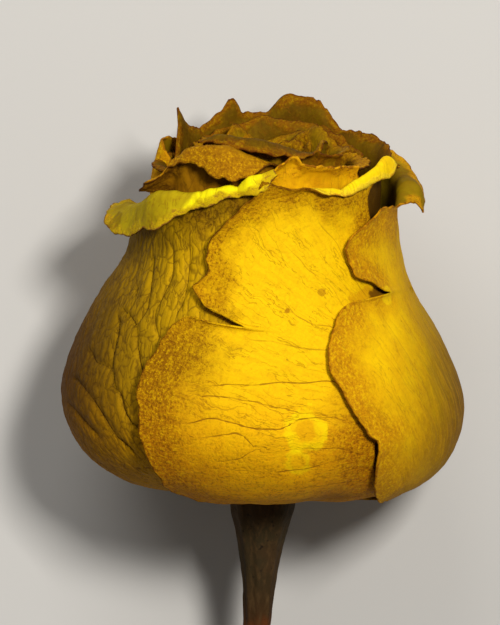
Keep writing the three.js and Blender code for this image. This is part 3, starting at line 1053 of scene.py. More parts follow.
FINISHES: dict[str, PetalFinish] = {
    "front": replace(
        GOLD,
        name="petal_front_gold",
        ground=(0.72, 0.40, 0.002),
        shade=(0.68, 0.33, 0.002),
        # Lighter towards its right and darker towards its left margin: painted light and shade across the
        # petal.
        side_shading=(0.82, 0.505, 0.002),
        side_shading_from=(-17.0, -4.0),
        margin_width=12.0,
        margin_aloft=0.42,
        aloft_colour=(0.56, 0.26, 0.002),
        margin=(0.32, 0.132, 0.002),
        # Its lower part turns more orange and a little darker: painted shade near the floor on a browner
        # tone.
        foot_shading_colour=(0.86, 0.30, 0.002),
        foot_shading_reach=(25.0, 50.0),
        foot=0.7,
        bright=(0.80, 0.46, 0.002),
        hair_strength=0.55,
        grain=0.11,
        vein_strength=0.85,
        spots=(
            Spot((5.7, 38.4, 52.2), 3.3, (0.92, 0.68, 0.002), 0.8, 0.62),
            Spot((5.7, 38.4, 52.2), 1.5, (0.66, 0.30, 0.002), 0.0, 0.5),
            Spot((4.6, 34.2, 51.2), 2.2, (0.92, 0.68, 0.002), 0.8, 0.45),
            Spot((7.8, 56.6, 48.0), 0.6, (0.36, 0.15, 0.003), 0.0, 0.6),
            Spot((3.2, 54.2, 49.6), 0.55, (0.34, 0.13, 0.003), 0.0, 0.8),
            # A brown patch and a near-black one under the curled upper right lip: painted shade.
            Spot((13.4, 54.5, 43.3), 3.4, (0.50, 0.20, 0.002), 0.0, 0.6),
            Spot((15.7, 54.4, 41.5), 3.1, (0.10, 0.03, 0.002), 0.0, 0.85),
        ),
    ),
    "right": replace(
        GOLD,
        name="petal_amber",
        ground=(0.80, 0.50, 0.002),
        shade=(0.68, 0.35, 0.002),
        margin=(0.54, 0.235, 0.002),
        edge=(0.24, 0.08, 0.002),
        # Much darker towards the petal's far right: painted shade where it turns away from the light.
        side_shading=(0.14, 0.066, 0.002),
        side_shading_from=(15.5, 27.5),
        grain_hollow_shade=0.4,
        vein=(0.34, 0.15, 0.004),
        margin_width=7.0,
        vein_strength=0.3,
        hair_strength=0.45,
        foot=0.4,
        net=Net(cell=(3.2, 0.8), bend=0.9),
        grain=0.045,
        # A pale lemon patch on the rolled upper left corner: a painted highlight.
        spots=(Spot((16.5, 56.0, 42.2), 1.4, (0.86, 0.60, 0.003), 0.0, 0.55),),
    ),
    "left": replace(
        GOLD,
        name="petal_umber_gold",
        # Near-black umber on the petal's far left, lighter towards its right and on its lower part:
        # painted shade where it turns from the light, on the tissue's olive brown.
        ground=(0.10, 0.036, 0.002),
        shade=(0.06, 0.021, 0.002),
        margin=(0.20, 0.09, 0.002),
        foot_shading_colour=(0.60, 0.25, 0.002),
        edge=(0.07, 0.022, 0.002),
        side_shading=(0.54, 0.31, 0.002),
        side_shading_from=(-28.3, -8.0),
        bright=(0.40, 0.22, 0.002),
        vein=(0.055, 0.02, 0.002),
        net=Net(cell=(2.3, 0.95)),
        margin_width=5.0,
        vein_width=0.12,
        vein_strength=0.95,
        hair_strength=0.6,
        net_strength=0.5,
        pucker=0.09,
        foot=0.8,
    ),
    "back": replace(
        GOLD,
        name="petal_back_gold",
        ground=(0.42, 0.24, 0.003),
        shade=(0.32, 0.16, 0.003),
        margin=(0.28, 0.13, 0.003),
        edge=(0.10, 0.035, 0.002),
        vein=(0.11, 0.045, 0.003),
        net=Net(cell=(2.4, 1.0)),
        margin_width=6.0,
        vein_width=0.13,
        net_strength=0.35,
        pucker=0.12,
    ),
    "crown": replace(
        GOLD,
        name="crown_ochre",
        ground=(0.30, 0.165, 0.001),
        shade=(0.14, 0.055, 0.001),
        margin=(0.24, 0.09, 0.001),
        edge=(0.10, 0.025, 0.002),
        vein=(0.08, 0.03, 0.002),
        margin_width=2.0,
        vein_strength=0.5,
        net_strength=0.3,
        pucker=0.08,
        foot=0.0,
    ),
    "umber": replace(
        GOLD,
        name="crown_umber",
        ground=(0.31, 0.14, 0.002),
        shade=(0.17, 0.065, 0.002),
        margin=(0.15, 0.06, 0.002),
        edge=(0.07, 0.02, 0.002),
        vein=(0.06, 0.02, 0.002),
        margin_width=2.0,
        vein_strength=0.5,
        net_strength=0.3,
        pucker=0.08,
        foot=0.0,
    ),
    "amber": replace(
        GOLD,
        name="crown_amber",
        ground=(0.78, 0.43, 0.002),
        shade=(0.52, 0.22, 0.002),
        margin=(0.70, 0.34, 0.003),
        edge=(0.24, 0.07, 0.003),
        vein=(0.20, 0.07, 0.003),
        margin_width=2.0,
        vein_strength=0.4,
        pucker=0.05,
        foot=0.0,
    ),
    # A near-black copy of the crown's tissue for a petal's outside seen only through a narrow slit:
    # painted shade.
    "dark": replace(
        GOLD,
        name="crown_painted_shade",
        ground=(0.10, 0.045, 0.002),
        shade=(0.06, 0.025, 0.002),
        margin=(0.10, 0.04, 0.002),
        edge=(0.06, 0.02, 0.002),
        vein=(0.03, 0.012, 0.002),
        margin_width=2.0,
        foot=0.0,
    ),
    "heart": replace(
        GOLD,
        name="heart_olive",
        ground=(0.26, 0.15, 0.001),
        shade=(0.08, 0.032, 0.001),
        margin=(0.32, 0.14, 0.001),
        edge=(0.11, 0.03, 0.002),
        bright=(0.46, 0.27, 0.001),
        grain=0.07,
        vein=(0.06, 0.025, 0.002),
        margin_width=2.0,
        vein_strength=0.4,
        net_strength=0.3,
        pucker=0.10,
        foot=0.0,
    ),
    "inside_bright": replace(
        GOLD,
        name="inside_lemon",
        ground=(0.88, 0.64, 0.004),
        shade=(0.80, 0.48, 0.004),
        margin=(0.84, 0.58, 0.02),
        edge=(0.50, 0.20, 0.01),
        vein_strength=0.15,
        margin_width=1.0,
        grain_hollow_shade=0.35,
        foot=0.0,
    ),
    "inside_left": replace(
        GOLD,
        name="inside_olive_to_lemon",
        ground=(0.46, 0.34, 0.004),
        shade=(0.30, 0.19, 0.003),
        margin=(0.60, 0.38, 0.004),
        edge=(0.20, 0.06, 0.015),
        # Olive where the flap turns from the light, lemon past a slanted line where the lip faces it:
        # partly the tissue's own colours, partly painted shade on the flap and painted light on the lip.
        side_shading=(0.93, 0.80, 0.004),
        side_shading_from=(-66.7, -65.8),
        side_shading_slant=0.82,
        vein_strength=0.25,
        hair_strength=0.5,
        margin_width=1.4,
        grain_hollow_shade=0.55,
        foot=0.0,
        grain=0.07,
        spots=(
            # A dark brown patch where the flap folds: painted shade.
            Spot((-19.0, 65.0, 34.6), 2.2, (0.16, 0.08, 0.003), 0.0, 0.55),
            Spot((-22.6, 66.4, 33.6), 2.4, (0.62, 0.27, 0.003), 0.0, 0.55),
        ),
    ),
    "inside_olive": replace(
        GOLD,
        name="inside_olive",
        ground=(0.27, 0.18, 0.003),
        shade=(0.17, 0.09, 0.002),
        margin=(0.58, 0.28, 0.004),
        edge=(0.20, 0.06, 0.004),
        vein_strength=0.3,
        hair_strength=0.4,
        margin_width=1.2,
        foot=0.0,
    ),
    "inside_mottled": replace(
        GOLD,
        name="inside_mottled",
        ground=(0.38, 0.19, 0.002),
        shade=(0.22, 0.085, 0.002),
        margin=(0.42, 0.18, 0.002),
        edge=(0.13, 0.035, 0.002),
        bright=(0.74, 0.41, 0.002),
        vein_strength=0.3,
        hair_strength=0.4,
        margin_width=4.0,
        grain_hollow_shade=0.5,
        foot=0.0,
        grain=0.07,
    ),
    # A darker copy of the olive inner tissue for faces deep in the crown: painted shade where little light
    # reaches.
    "inside_deep": replace(
        GOLD,
        name="inside_olive_painted_shade",
        ground=(0.15, 0.08, 0.001),
        shade=(0.055, 0.020, 0.001),
        margin=(0.24, 0.09, 0.001),
        edge=(0.12, 0.03, 0.002),
        bright=(0.36, 0.21, 0.001),
        grain=0.07,
        vein_strength=0.3,
        hair_strength=0.4,
        margin_width=1.4,
        foot=0.0,
    ),
}

INSIDES: dict[str, str] = {
    "front": "inside_bright",
    "right": "inside_olive",
    "left": "inside_left",
    "back": "inside_deep",
    "crown": "inside_deep",
    "umber": "inside_mottled",
    "amber": "inside_mottled",
    "dark": "inside_deep",
    "heart": "heart",
}

# The front petal's veins run in from its right; the left petal's climb from its lower right.
FRONT_VEINS: tuple[Vein, ...] = (
    Vein(((27, -3), (31, -2.2), (35, -1.6), (38, -2.2)), 0.6),
    Vein(((29, 4.2), (31, 3.4), (32, 2.3), (34, 1.5)), 0.4),
    Vein(((31, 7), (33, 6.3), (37, 3.8), (42, 2.2), (47, 2.4)), 0.85),
    Vein(((41, 7.4), (43, 7.1), (45, 4.8), (48, 3.8)), 0.8),
    Vein(((30, 7.7), (33, 8.9), (35, 8.9), (39, 8), (43, 7.1), (45, 8.9), (50, 7.3)), 0.9),
    Vein(((34, 16.4), (36, 15.8), (39, 13.6), (41, 11.7), (45, 10.5), (48, 10.7), (52, 8.5)), 1.0),
    Vein(((46, 13.6), (48, 12.2), (50, 12.4)), 0.5),
    Vein(((34, 16.4), (36, 15.8), (40, 15.2), (44, 15.3), (47, 14.6), (52, 12.3)), 0.8),
    Vein(((33, 24), (36, 23), (40, 21.3), (44, 18.3), (46, 17.4), (51, 14.5)), 0.9),
    Vein(((38, 28.9), (41, 27.3), (45, 26.1), (48, 24.4)), 0.6),
    Vein(((37, 34.7), (40, 32.8), (42, 32.1), (46, 33)), 0.6),
    Vein(((38, 40), (42, 41.5), (46, 40.5), (50, 41)), 0.4),
    Vein(((35, 47), (40, 47.5), (44, 49), (48, 48.5)), 0.5),
    Vein(((35, 54), (40, 56), (46, 56.5)), 0.45),
)
LEFT_VEINS: tuple[Vein, ...] = (
    Vein(((24, 52), (30, 47), (36, 41), (40, 37)), 0.6),
    Vein(((28, 61), (32, 57.6), (37, 49.2)), 0.8),
    Vein(((24, 71), (27, 68.4), (32, 64.8), (36, 60), (39, 54.6)), 1.0),
    Vein(((34, 71.7), (37, 69.3), (39, 64.5), (42, 60.5)), 0.9),
    Vein(((20, 77), (26, 76.9), (30, 74.6), (34, 71.7), (37, 69.9), (41, 70.4), (45, 69)), 1.0),
    Vein(((44, 72), (47, 73.5), (50, 71.1)), 0.7),
    Vein(((30, 80.5), (34, 79.3), (37, 77.6), (42, 75.4), (46, 69.5)), 1.0),
    Vein(((42, 75.4), (44.5, 77.6), (49, 77), (53, 75.8)), 0.9),
    Vein(((39, 82.3), (43, 80.4), (45, 81.5), (48, 82.9), (50, 82.3), (53, 81.1)), 0.9),
    Vein(((43, 86), (46, 86.6), (53, 86.1)), 0.8),
    Vein(((44, 92), (48, 91), (54, 92)), 0.6),
)


# The outer whorl's sides at the front, right and left: radius and height.
FRONT_SIDE: Stops = (
    (4.9, 3.4), (9.0, 3.1), (15.0, 4.1), (20.5, 5.9), (24.7, 9.2), (27.0, 14.4), (26.2, 20.0),
    (23.6, 26.5), (20.6, 32.5), (18.6, 39.0), (18.0, 45.0), (18.2, 51.0), (18.6, 57.0),
)
RIGHT_SIDE: Stops = (
    (4.9, 3.2), (10.0, 1.7), (15.0, 1.5), (19.5, 2.6), (23.3, 4.9), (26.0, 8.4), (27.1, 13.0),
    (26.5, 17.0), (24.3, 22.5), (21.5, 27.5), (19.5, 32.0), (18.2, 38.0), (17.9, 44.0), (18.4, 50.0),
    (19.0, 55.0),
)
RIGHT_FRONT_SIDE: Stops = (
    (4.9, 3.1), (10.0, 2.4), (15.0, 2.8), (20.0, 4.3), (24.3, 7.4), (26.8, 12.6), (26.5, 17.8),
    (24.2, 24.2), (21.3, 30.0), (19.3, 35.8), (18.6, 42.0), (18.6, 48.0), (19.0, 56.0),
)
LEFT_SIDE: Stops = (
    (4.9, 3.4), (10.0, 3.1), (15.0, 3.9), (20.0, 5.6), (24.0, 8.4), (26.1, 12.4), (26.3, 17.2),
    (24.2, 23.0), (21.2, 28.8), (17.9, 34.0), (16.8, 39.0), (16.9, 44.0), (17.6, 50.0), (17.9, 56.0),
)
LEFT_FRONT_SIDE: Stops = (
    (4.9, 3.8), (10.0, 3.7), (15.0, 4.9), (20.0, 7.0), (23.8, 10.2), (26.0, 14.8), (26.0, 19.5),
    (24.0, 25.5), (21.2, 31.5), (18.6, 37.5), (17.9, 44.0), (18.0, 50.0), (18.3, 56.0),
)


@dataclass(frozen=True)
class Whorl:
    """A ring of petals that nest alike.

    Attributes:
        name: The first word of its petals' names.
        petals: How many it has.
        first: Degrees round the bloom of its first petal.
        outline: Its side view.
        half_width: Half-width of a petal in degrees, at shares of the side.
        tall: The share of the side that its petals reach.
        roll: How far the margins roll outwards.
        lip_length: How wide the rolled margins are.
        grid: Columns and rows of a finished petal.
        finish: The petals' outside finish.
        slot: The record's material slot.
    """

    name: str
    petals: int
    first: float
    outline: Stops
    half_width: Stops
    tall: float
    roll: float
    lip_length: float
    grid: tuple[int, int]
    finish: str
    slot: Slot

    def grown(self, index: int) -> list[Petal]:
        """Shape the whorl's petals.

        Args:
            index: The whorl's place, from 0 outside.

        Returns:
            Its petals in order.
        """
        side = WhorlSide([(0.0, self.outline)])
        made = []
        for i in range(self.petals):
            seed = index * 7 + i
            tall = self.tall + 0.025 * vary(seed, 1)
            dip = 0.03 + 0.02 * vary(seed, 2)
            roll = self.roll * (1 + 0.6 * vary(seed, 3))
            petal = Petal(
                name=f"{self.name}_petal_{i + 1}",
                middle=self.first + i * 360.0 / self.petals + 4 * vary(seed, 4),
                side=side,
                left=self.half_width,
                right=self.half_width,
                rim=(
                    (-1, tall - 2 * dip), (-0.4, tall), (0.1, tall - dip), (0.5, tall + 0.01),
                    (1, tall - 2 * dip),
                ),
                lip=(
                    (-1, roll * 0.4, self.lip_length / 2),
                    (-0.3, roll, self.lip_length),
                    (0.4, roll * 0.6, self.lip_length * 0.8),
                    (1, roll * 0.3, self.lip_length / 2),
                ),
                fold=0.9,
                wave=(0.25 + 0.15 * vary(seed, 5), 1.5 + 0.5 * vary(seed, 6), 3 * vary(seed, 7)),
                lift=(0.1, 0.0),
                grid=self.grid,
                finish=self.finish,
                slot=self.slot,
                seed=20 + seed,
                ragged=0.25,
                crinkle=0.3,
            )
            made.append(replace(petal, **OWN_RIMS.get(petal.name, {})))
        return made


OWN_RIMS: dict[str, dict] = {
    "second_petal_1": {
        "finish": "umber",
        "left": (
            (0, 30), (0.2, 44), (0.45, 52), (0.65, 38), (0.78, 18), (0.84, 24), (0.9, 38), (1, 40),
        ),
        "rim": (
            (-1, 0.835), (-0.7, 0.86), (-0.5, 0.882), (-0.25, 0.889), (0.0, 0.914), (0.2, 0.935),
            (0.4, 0.963), (0.5, 0.952), (0.7, 0.908), (0.88, 0.868), (1, 0.855),
        ),
        "lip": (
            (-1, 90, 4.6), (-0.5, 125, 4.6), (-0.25, 145, 2.4), (0.0, 150, 2.8), (0.2, 150, 4.1),
            (0.4, 150, 6.5), (0.5, 150, 6.2), (0.7, 130, 4), (0.88, 60, 1.8), (1, 30, 1.6),
        ),
        "fold": 0.55,
    },
    "second_petal_2": {
        "finish": "amber",
        "right": ((0, 30), (0.2, 44), (0.45, 50), (0.7, 38), (0.8, 24), (1, 10)),
        "rim": (
            (-1, 0.79), (-0.75, 0.81), (-0.56, 0.858), (-0.42, 0.884), (-0.34, 0.864), (0.0, 0.856),
            (1, 0.84),
        ),
        "lip": ((-1, 20, 2), (0, 40, 3), (1, 30, 2)),
        "fold": 0.9,
    },
    "second_petal_3": {
        # Its outside, seen through a slit, takes the painted shade of the dark finish.
        "finish": "dark",
        "rim": ((-1, 0.82), (-0.5, 0.83), (-0.1, 0.85), (0.4, 0.855), (1, 0.85)),
        "lip": ((-1, 20, 2), (-0.1, 45, 4), (0.6, 30, 3), (1, 20, 2)),
    },
    "second_petal_4": {
        "rim": (
            (-1, 0.83), (-0.75, 0.862), (-0.6, 0.9), (-0.27, 0.905), (-0.04, 0.868), (0.12, 0.87),
            (0.255, 0.902), (0.4, 0.878), (0.58, 0.856), (1, 0.83),
        ),
        "lip": ((-1, 20, 2), (-0.4, 35, 3), (0.3, 15, 3), (1, 20, 2)),
    },
    "second_petal_5": {
        "finish": "right",
        "right": ((0, 30), (0.2, 44), (0.45, 50), (0.6, 30), (0.72, 8), (1, 6)),
        "rim": (
            (-1, 0.78), (-0.64, 0.80), (-0.5, 0.83), (-0.3, 0.85), (0.0, 0.853), (0.6, 0.842),
            (1, 0.82),
        ),
        "lip": ((-1, -22, 9), (1, -22, 9)),
        "lift": (0.1, -1.0),
    },
    "third_petal_1": {
        "rim": (
            (-1, 0.925), (-0.75, 0.945), (-0.3, 0.951), (-0.1, 0.944), (0.15, 0.922), (0.35, 0.898),
            (0.5, 0.885), (1, 0.86),
        ),
        "lip": (
            (-1, 80, 3), (-0.75, 110, 3.4), (-0.4, 125, 4.4), (-0.1, 125, 4.6), (0.15, 115, 4.0),
            (0.35, 80, 3.2), (0.5, 50, 3), (1, 30, 2),
        ),
        "fold": 0.75,
    },
    "third_petal_2": {
        "finish": "umber",
        "rim": ((-1, 0.85), (-0.4, 0.86), (0.0, 0.85), (0.4, 0.835), (1, 0.82)),
        "lip": ((-1, 60, 3), (-0.2, 100, 3.5), (0.4, 60, 3), (1, 30, 2)),
    },
    "third_petal_3": {
        "rim": ((-1, 0.82), (-0.5, 0.845), (0.0, 0.87), (0.4, 0.88), (1, 0.85)),
        "lip": ((-1, 20, 2), (0.0, 50, 3), (1, 20, 2)),
    },
    "third_petal_4": {
        "rim": (
            (-1, 0.84), (-0.3, 0.85), (-0.12, 0.838), (-0.03, 0.86), (0.18, 0.875), (0.31, 0.893),
            (0.43, 0.912), (0.475, 0.918), (0.53, 0.87), (0.6, 0.81), (1, 0.78),
        ),
        "lip": ((-1, 20, 2), (0.6, 10, 3), (1, 20, 2)),
    },
    "third_petal_5": {
        "rim": ((-1, 0.82), (-0.3, 0.84), (0.4, 0.84), (1, 0.85)),
    },
}

WHORLS: tuple[Whorl, ...] = (
    Whorl(
        name="second", petals=5, first=-34,
        outline=(
            (4.0, 4.1), (8.0, 4.7), (14.0, 5.8), (19.0, 8.4), (22.0, 13.5), (21.5, 20.0), (18.8, 28.0),
            (16.2, 35.0), (15.2, 41.0), (15.2, 47.0), (15.4, 54.0), (15.9, 60.0),
        ),
        half_width=((0, 30), (0.2, 44), (0.45, 56), (0.8, 52), (1, 44)),
        tall=0.87, roll=70, lip_length=4, grid=(100, 110), finish="crown", slot=Slot.OUTER,
    ),
    Whorl(
        name="third", petals=5, first=6,
        outline=(
            (3.2, 5.3), (6.5, 6.8), (11.0, 8.6), (15.5, 12.0), (17.5, 17.5), (16.5, 24.5), (14.0, 31.5),
            (12.4, 38.0), (12.0, 45.0), (12.3, 53.0), (12.6, 59.0),
        ),
        half_width=((0, 30), (0.2, 44), (0.45, 56), (0.8, 52), (1, 40)),
        tall=0.88, roll=65, lip_length=3.6, grid=(72, 76), finish="crown", slot=Slot.INNER,
    ),
    Whorl(
        name="fourth", petals=5, first=35,
        outline=(
            (2.4, 6.5), (5.0, 9.0), (9.0, 12.5), (12.0, 17.5), (12.6, 23.5), (11.0, 30.5), (9.6, 37.5),
            (9.0, 44.0), (9.2, 52.0), (9.4, 58.0),
        ),
        half_width=((0, 30), (0.2, 46), (0.45, 58), (0.8, 54), (1, 40)),
        tall=0.87, roll=55, lip_length=3, grid=(56, 60), finish="heart", slot=Slot.INNER,
    ),
    Whorl(
        name="fifth", petals=4, first=-14,
        outline=(
            (1.6, 7.4), (3.4, 10.5), (6.2, 15.5), (7.9, 21.5), (7.8, 28.5), (6.6, 36.0), (6.1, 43.0),
            (6.3, 51.0), (6.4, 56.0),
        ),
        half_width=((0, 36), (0.2, 54), (0.45, 68), (0.8, 62), (1, 46)),
        tall=0.87, roll=40, lip_length=2.4, grid=(44, 50), finish="heart", slot=Slot.INNER,
    ),
    Whorl(
        name="heart", petals=3, first=60,
        outline=(
            (0.9, 8.5), (1.9, 12.5), (3.6, 18.5), (4.2, 25.5), (3.6, 33.5), (3.0, 41.0), (3.2, 49.0),
            (3.3, 54.0),
        ),
        half_width=((0, 40), (0.2, 60), (0.45, 80), (0.8, 70), (1, 50)),
        tall=0.87, roll=25, lip_length=2, grid=(40, 44), finish="heart", slot=Slot.INNER,
    ),
)


def outer_petals() -> list[Petal]:
    """Shape the outer whorl, whose five petals differ.

    Returns:
        The front, right, back right, back left and left petals.
    """
    side = WhorlSide([
        (22, FRONT_SIDE), (52, RIGHT_FRONT_SIDE), (92, RIGHT_SIDE), (161, RIGHT_SIDE), (229, LEFT_SIDE),
        (290, LEFT_SIDE), (325, LEFT_FRONT_SIDE),
    ])
    grid = (190, 204)
    front = Petal(
        name="front_petal", middle=22, side=side, grid=grid, finish="front", seed=1,
        left=(
            (0, 30), (0.14, 50), (0.237, 58), (0.283, 57), (0.343, 57.5), (0.41, 58.5), (0.465, 59.5),
            (0.507, 59), (0.54, 56.5), (0.556, 56), (0.58, 53.5), (0.596, 50.5), (0.608, 47),
            (0.6155, 38), (0.62, 28), (0.6265, 37), (0.632, 41.5), (0.648, 44.5), (0.67, 47.5),
            (0.693, 44.5), (0.713, 43), (0.743, 44.5), (0.77, 43.5), (0.785, 41.5), (0.815, 36),
            (0.838, 31), (0.868, 23.5), (1, 18),
        ),
        right=(
            (0, 42), (0.1, 50), (0.16, 48), (0.2, 36), (0.228, 28), (0.285, 17.2), (0.343, 12.4),
            (0.38, 11.4), (0.41, 22), (0.45, 44), (0.5, 48), (0.7, 44), (0.78, 31), (0.85, 28),
            (0.88, 35), (0.91, 45), (0.95, 53), (1, 55),
        ),
        rim=(
            (-1, 0.89), (-0.5, 0.873), (0, 0.88), (0.4, 0.874), (0.62, 0.901), (0.75, 0.932),
            (0.86, 0.948), (0.93, 0.938), (1, 0.905),
        ),
        lip=(
            (-1, 10, 2), (-0.3, 40, 2), (0.1, 110, 1.8), (0.3, 140, 1.3), (0.62, 150, 1.6),
            (0.8, 150, 2.9), (0.9, 140, 2.8), (1, 90, 1.4),
        ),
        fold=0.55, wave=(0.15, 1.3, 0.4), lift=(0.6, 0), fan=(100, 0.3), veins=FRONT_VEINS, crease=0.05,
        tears=(Tear(share=0.6235, turn=41, slant=0.00154),),
        pushes=(
            Push(angle=-11, height=31.8, across=4, upright=1.3, amount=0.5),
            Push(angle=-13, height=29.2, across=4, upright=1.1, amount=-0.4),
        ),
    )
    right = Petal(
        name="right_petal", middle=92, side=side, grid=grid, finish="right", seed=2,
        left=(
            (0, 10), (0.1, 6), (0.15, 8), (0.19, 28), (0.215, 38), (0.23, 45), (0.26, 51.5), (0.3, 57),
            (0.35, 59.5), (0.388, 60), (0.398, 62.5), (0.438, 66.5), (0.478, 69.5), (0.517, 72.5),
            (0.545, 72.5), (0.583, 70.5), (0.613, 68), (0.643, 62), (0.652, 56), (0.658, 47),
            (0.6615, 39.5), (0.67, 43), (0.688, 49.5), (0.695, 56), (0.705, 58), (0.723, 59),
            (0.748, 59.5), (0.765, 57.5), (0.79, 52), (0.81, 46), (0.83, 40.5), (1, 28),
        ),
        right=((0, 30), (0.16, 36), (0.3, 48), (0.5, 55), (0.8, 55), (1, 50)),
        rim=(
            (-1, 0.83), (-0.55, 0.825), (-0.35, 0.848), (-0.26, 0.871), (-0.16, 0.940), (0.0, 0.918),
            (0.15, 0.90), (0.5, 0.906), (0.7, 0.917), (1, 0.91),
        ),
        lip=(
            (-1, 8, 2), (-0.55, 20, 2), (-0.35, 100, 2.6), (-0.26, 130, 3.7), (-0.17, 165, 8.2),
            (0.0, 140, 6.0), (0.15, 110, 4.6), (0.5, 50, 3), (1, 30, 3),
        ),
        fold=0.75, wave=(0.15, 1.5, 1.2), lift=(0.6, 0), fan=(92, -0.1),
        tears=(Tear(share=0.6615, turn=45, slant=0.0),),
    )
    left = Petal(
        name="left_petal", middle=-62, side=side, grid=grid, finish="left", seed=3,
        left=((0, 30), (0.16, 40), (0.3, 54), (0.5, 62), (0.8, 58), (1, 44)),
        right=((0, 30), (0.16, 36), (0.3, 46), (0.5, 52), (0.8, 62), (1, 72)),
        rim=(
            (-1, 0.80), (-0.7, 0.83), (-0.5, 0.86), (-0.34, 0.880), (0.0, 0.908), (0.25, 0.938),
            (0.34, 0.924), (0.42, 0.903), (0.53, 0.890), (0.61, 0.898), (0.7, 0.898), (0.78, 0.892),
            (0.85, 0.930), (0.93, 0.926), (1, 0.918),
        ),
        lip=(
            (-1, 60, 4), (-0.5, 110, 5.5), (-0.34, 125, 6.9), (0, 152, 7.1), (0.25, 158, 7.2),
            (0.34, 158, 5.8), (0.42, 158, 4.1), (0.53, 155, 2.7), (0.61, 150, 2.7), (0.7, 150, 2.2),
            (0.78, 150, 1.9), (0.85, 145, 3.5), (0.93, 140, 2.9), (1, 120, 1.5),
        ),
        fold=0.5, wave=(0.15, 1.5, 0), lift=(0.3, 0), fan=(-25, 0.0), veins=LEFT_VEINS, crease=0.3,
    )
    back_left = replace(
        left, name="back_left_petal", middle=-131, finish="back", seed=4, rests=True, grid=(124, 136),
        fan=(-131, -0.1), veins=(), crease=0.15, wave=(0.12, 1.8, 2),
        right=((0, 30), (0.16, 36), (0.3, 46), (0.5, 50), (0.8, 44), (1, 38)),
        rim=((-1, 0.87), (-0.4, 0.87), (0.0, 0.80), (0.4, 0.67), (1, 0.6)),
        lip=((-1, 20, 3), (-0.4, 90, 5), (0, 60, 4), (0.3, 20, 3), (1, 8, 2)),
    )
    back_right = replace(
        right, name="back_right_petal", middle=161, finish="back", seed=5, rests=True, grid=(124, 136),
        fan=(161, -0.1), tears=(), fold=0.7, wave=(0.12, 1.6, 0.9),
        left=((0, 30), (0.16, 30), (0.3, 36), (0.5, 38), (0.8, 42), (1, 40)),
        rim=((-1, 0.86), (-0.4, 0.89), (0.3, 0.89), (1, 0.86)),
        lip=((-1, 30, 3), (-0.4, 90, 5), (0, 50, 4), (0.3, 15, 3), (1, 8, 2)),
    )
    return [front, right, back_right, back_left, left]


def deselect_all() -> None:
    """Deselect every object, so that an operator acts only on the new one."""
    bpy.ops.object.select_all(action="DESELECT")


def select_only(piece: bpy.types.Object) -> None:
    """Select one object and make it the active one.

    Args:
        piece: The object.
    """
    deselect_all()
    piece.select_set(True)
    bpy.context.view_layer.objects.active = piece


def added_grid(name: str, columns: int, rows: int) -> tuple[bpy.types.Object, np.ndarray]:
    """Add the flat grid that a piece is shaped from.

    Args:
        name: The piece's name.
        columns: How many cells it has across.
        rows: How many it has along.

    Returns:
        The object, and its points from -1 to 1 across and along.
    """
    deselect_all()
    bpy.ops.mesh.primitive_grid_add(x_subdivisions=columns, y_subdivisions=rows, size=2.0)
    piece = bpy.context.active_object
    piece.name = name
    piece.data.name = piece.name
    flat = np.empty(len(piece.data.vertices) * 3)
    piece.data.vertices.foreach_get("co", flat)
    return piece, flat.reshape(-1, 3)


def apply_modifiers(piece: bpy.types.Object) -> None:
    """Apply a piece's modifiers in order.

    Args:
        piece: The object, which becomes the active one.
    """
    select_only(piece)
    for modifier in list(piece.modifiers):
        bpy.ops.object.modifier_apply(modifier=modifier.name)


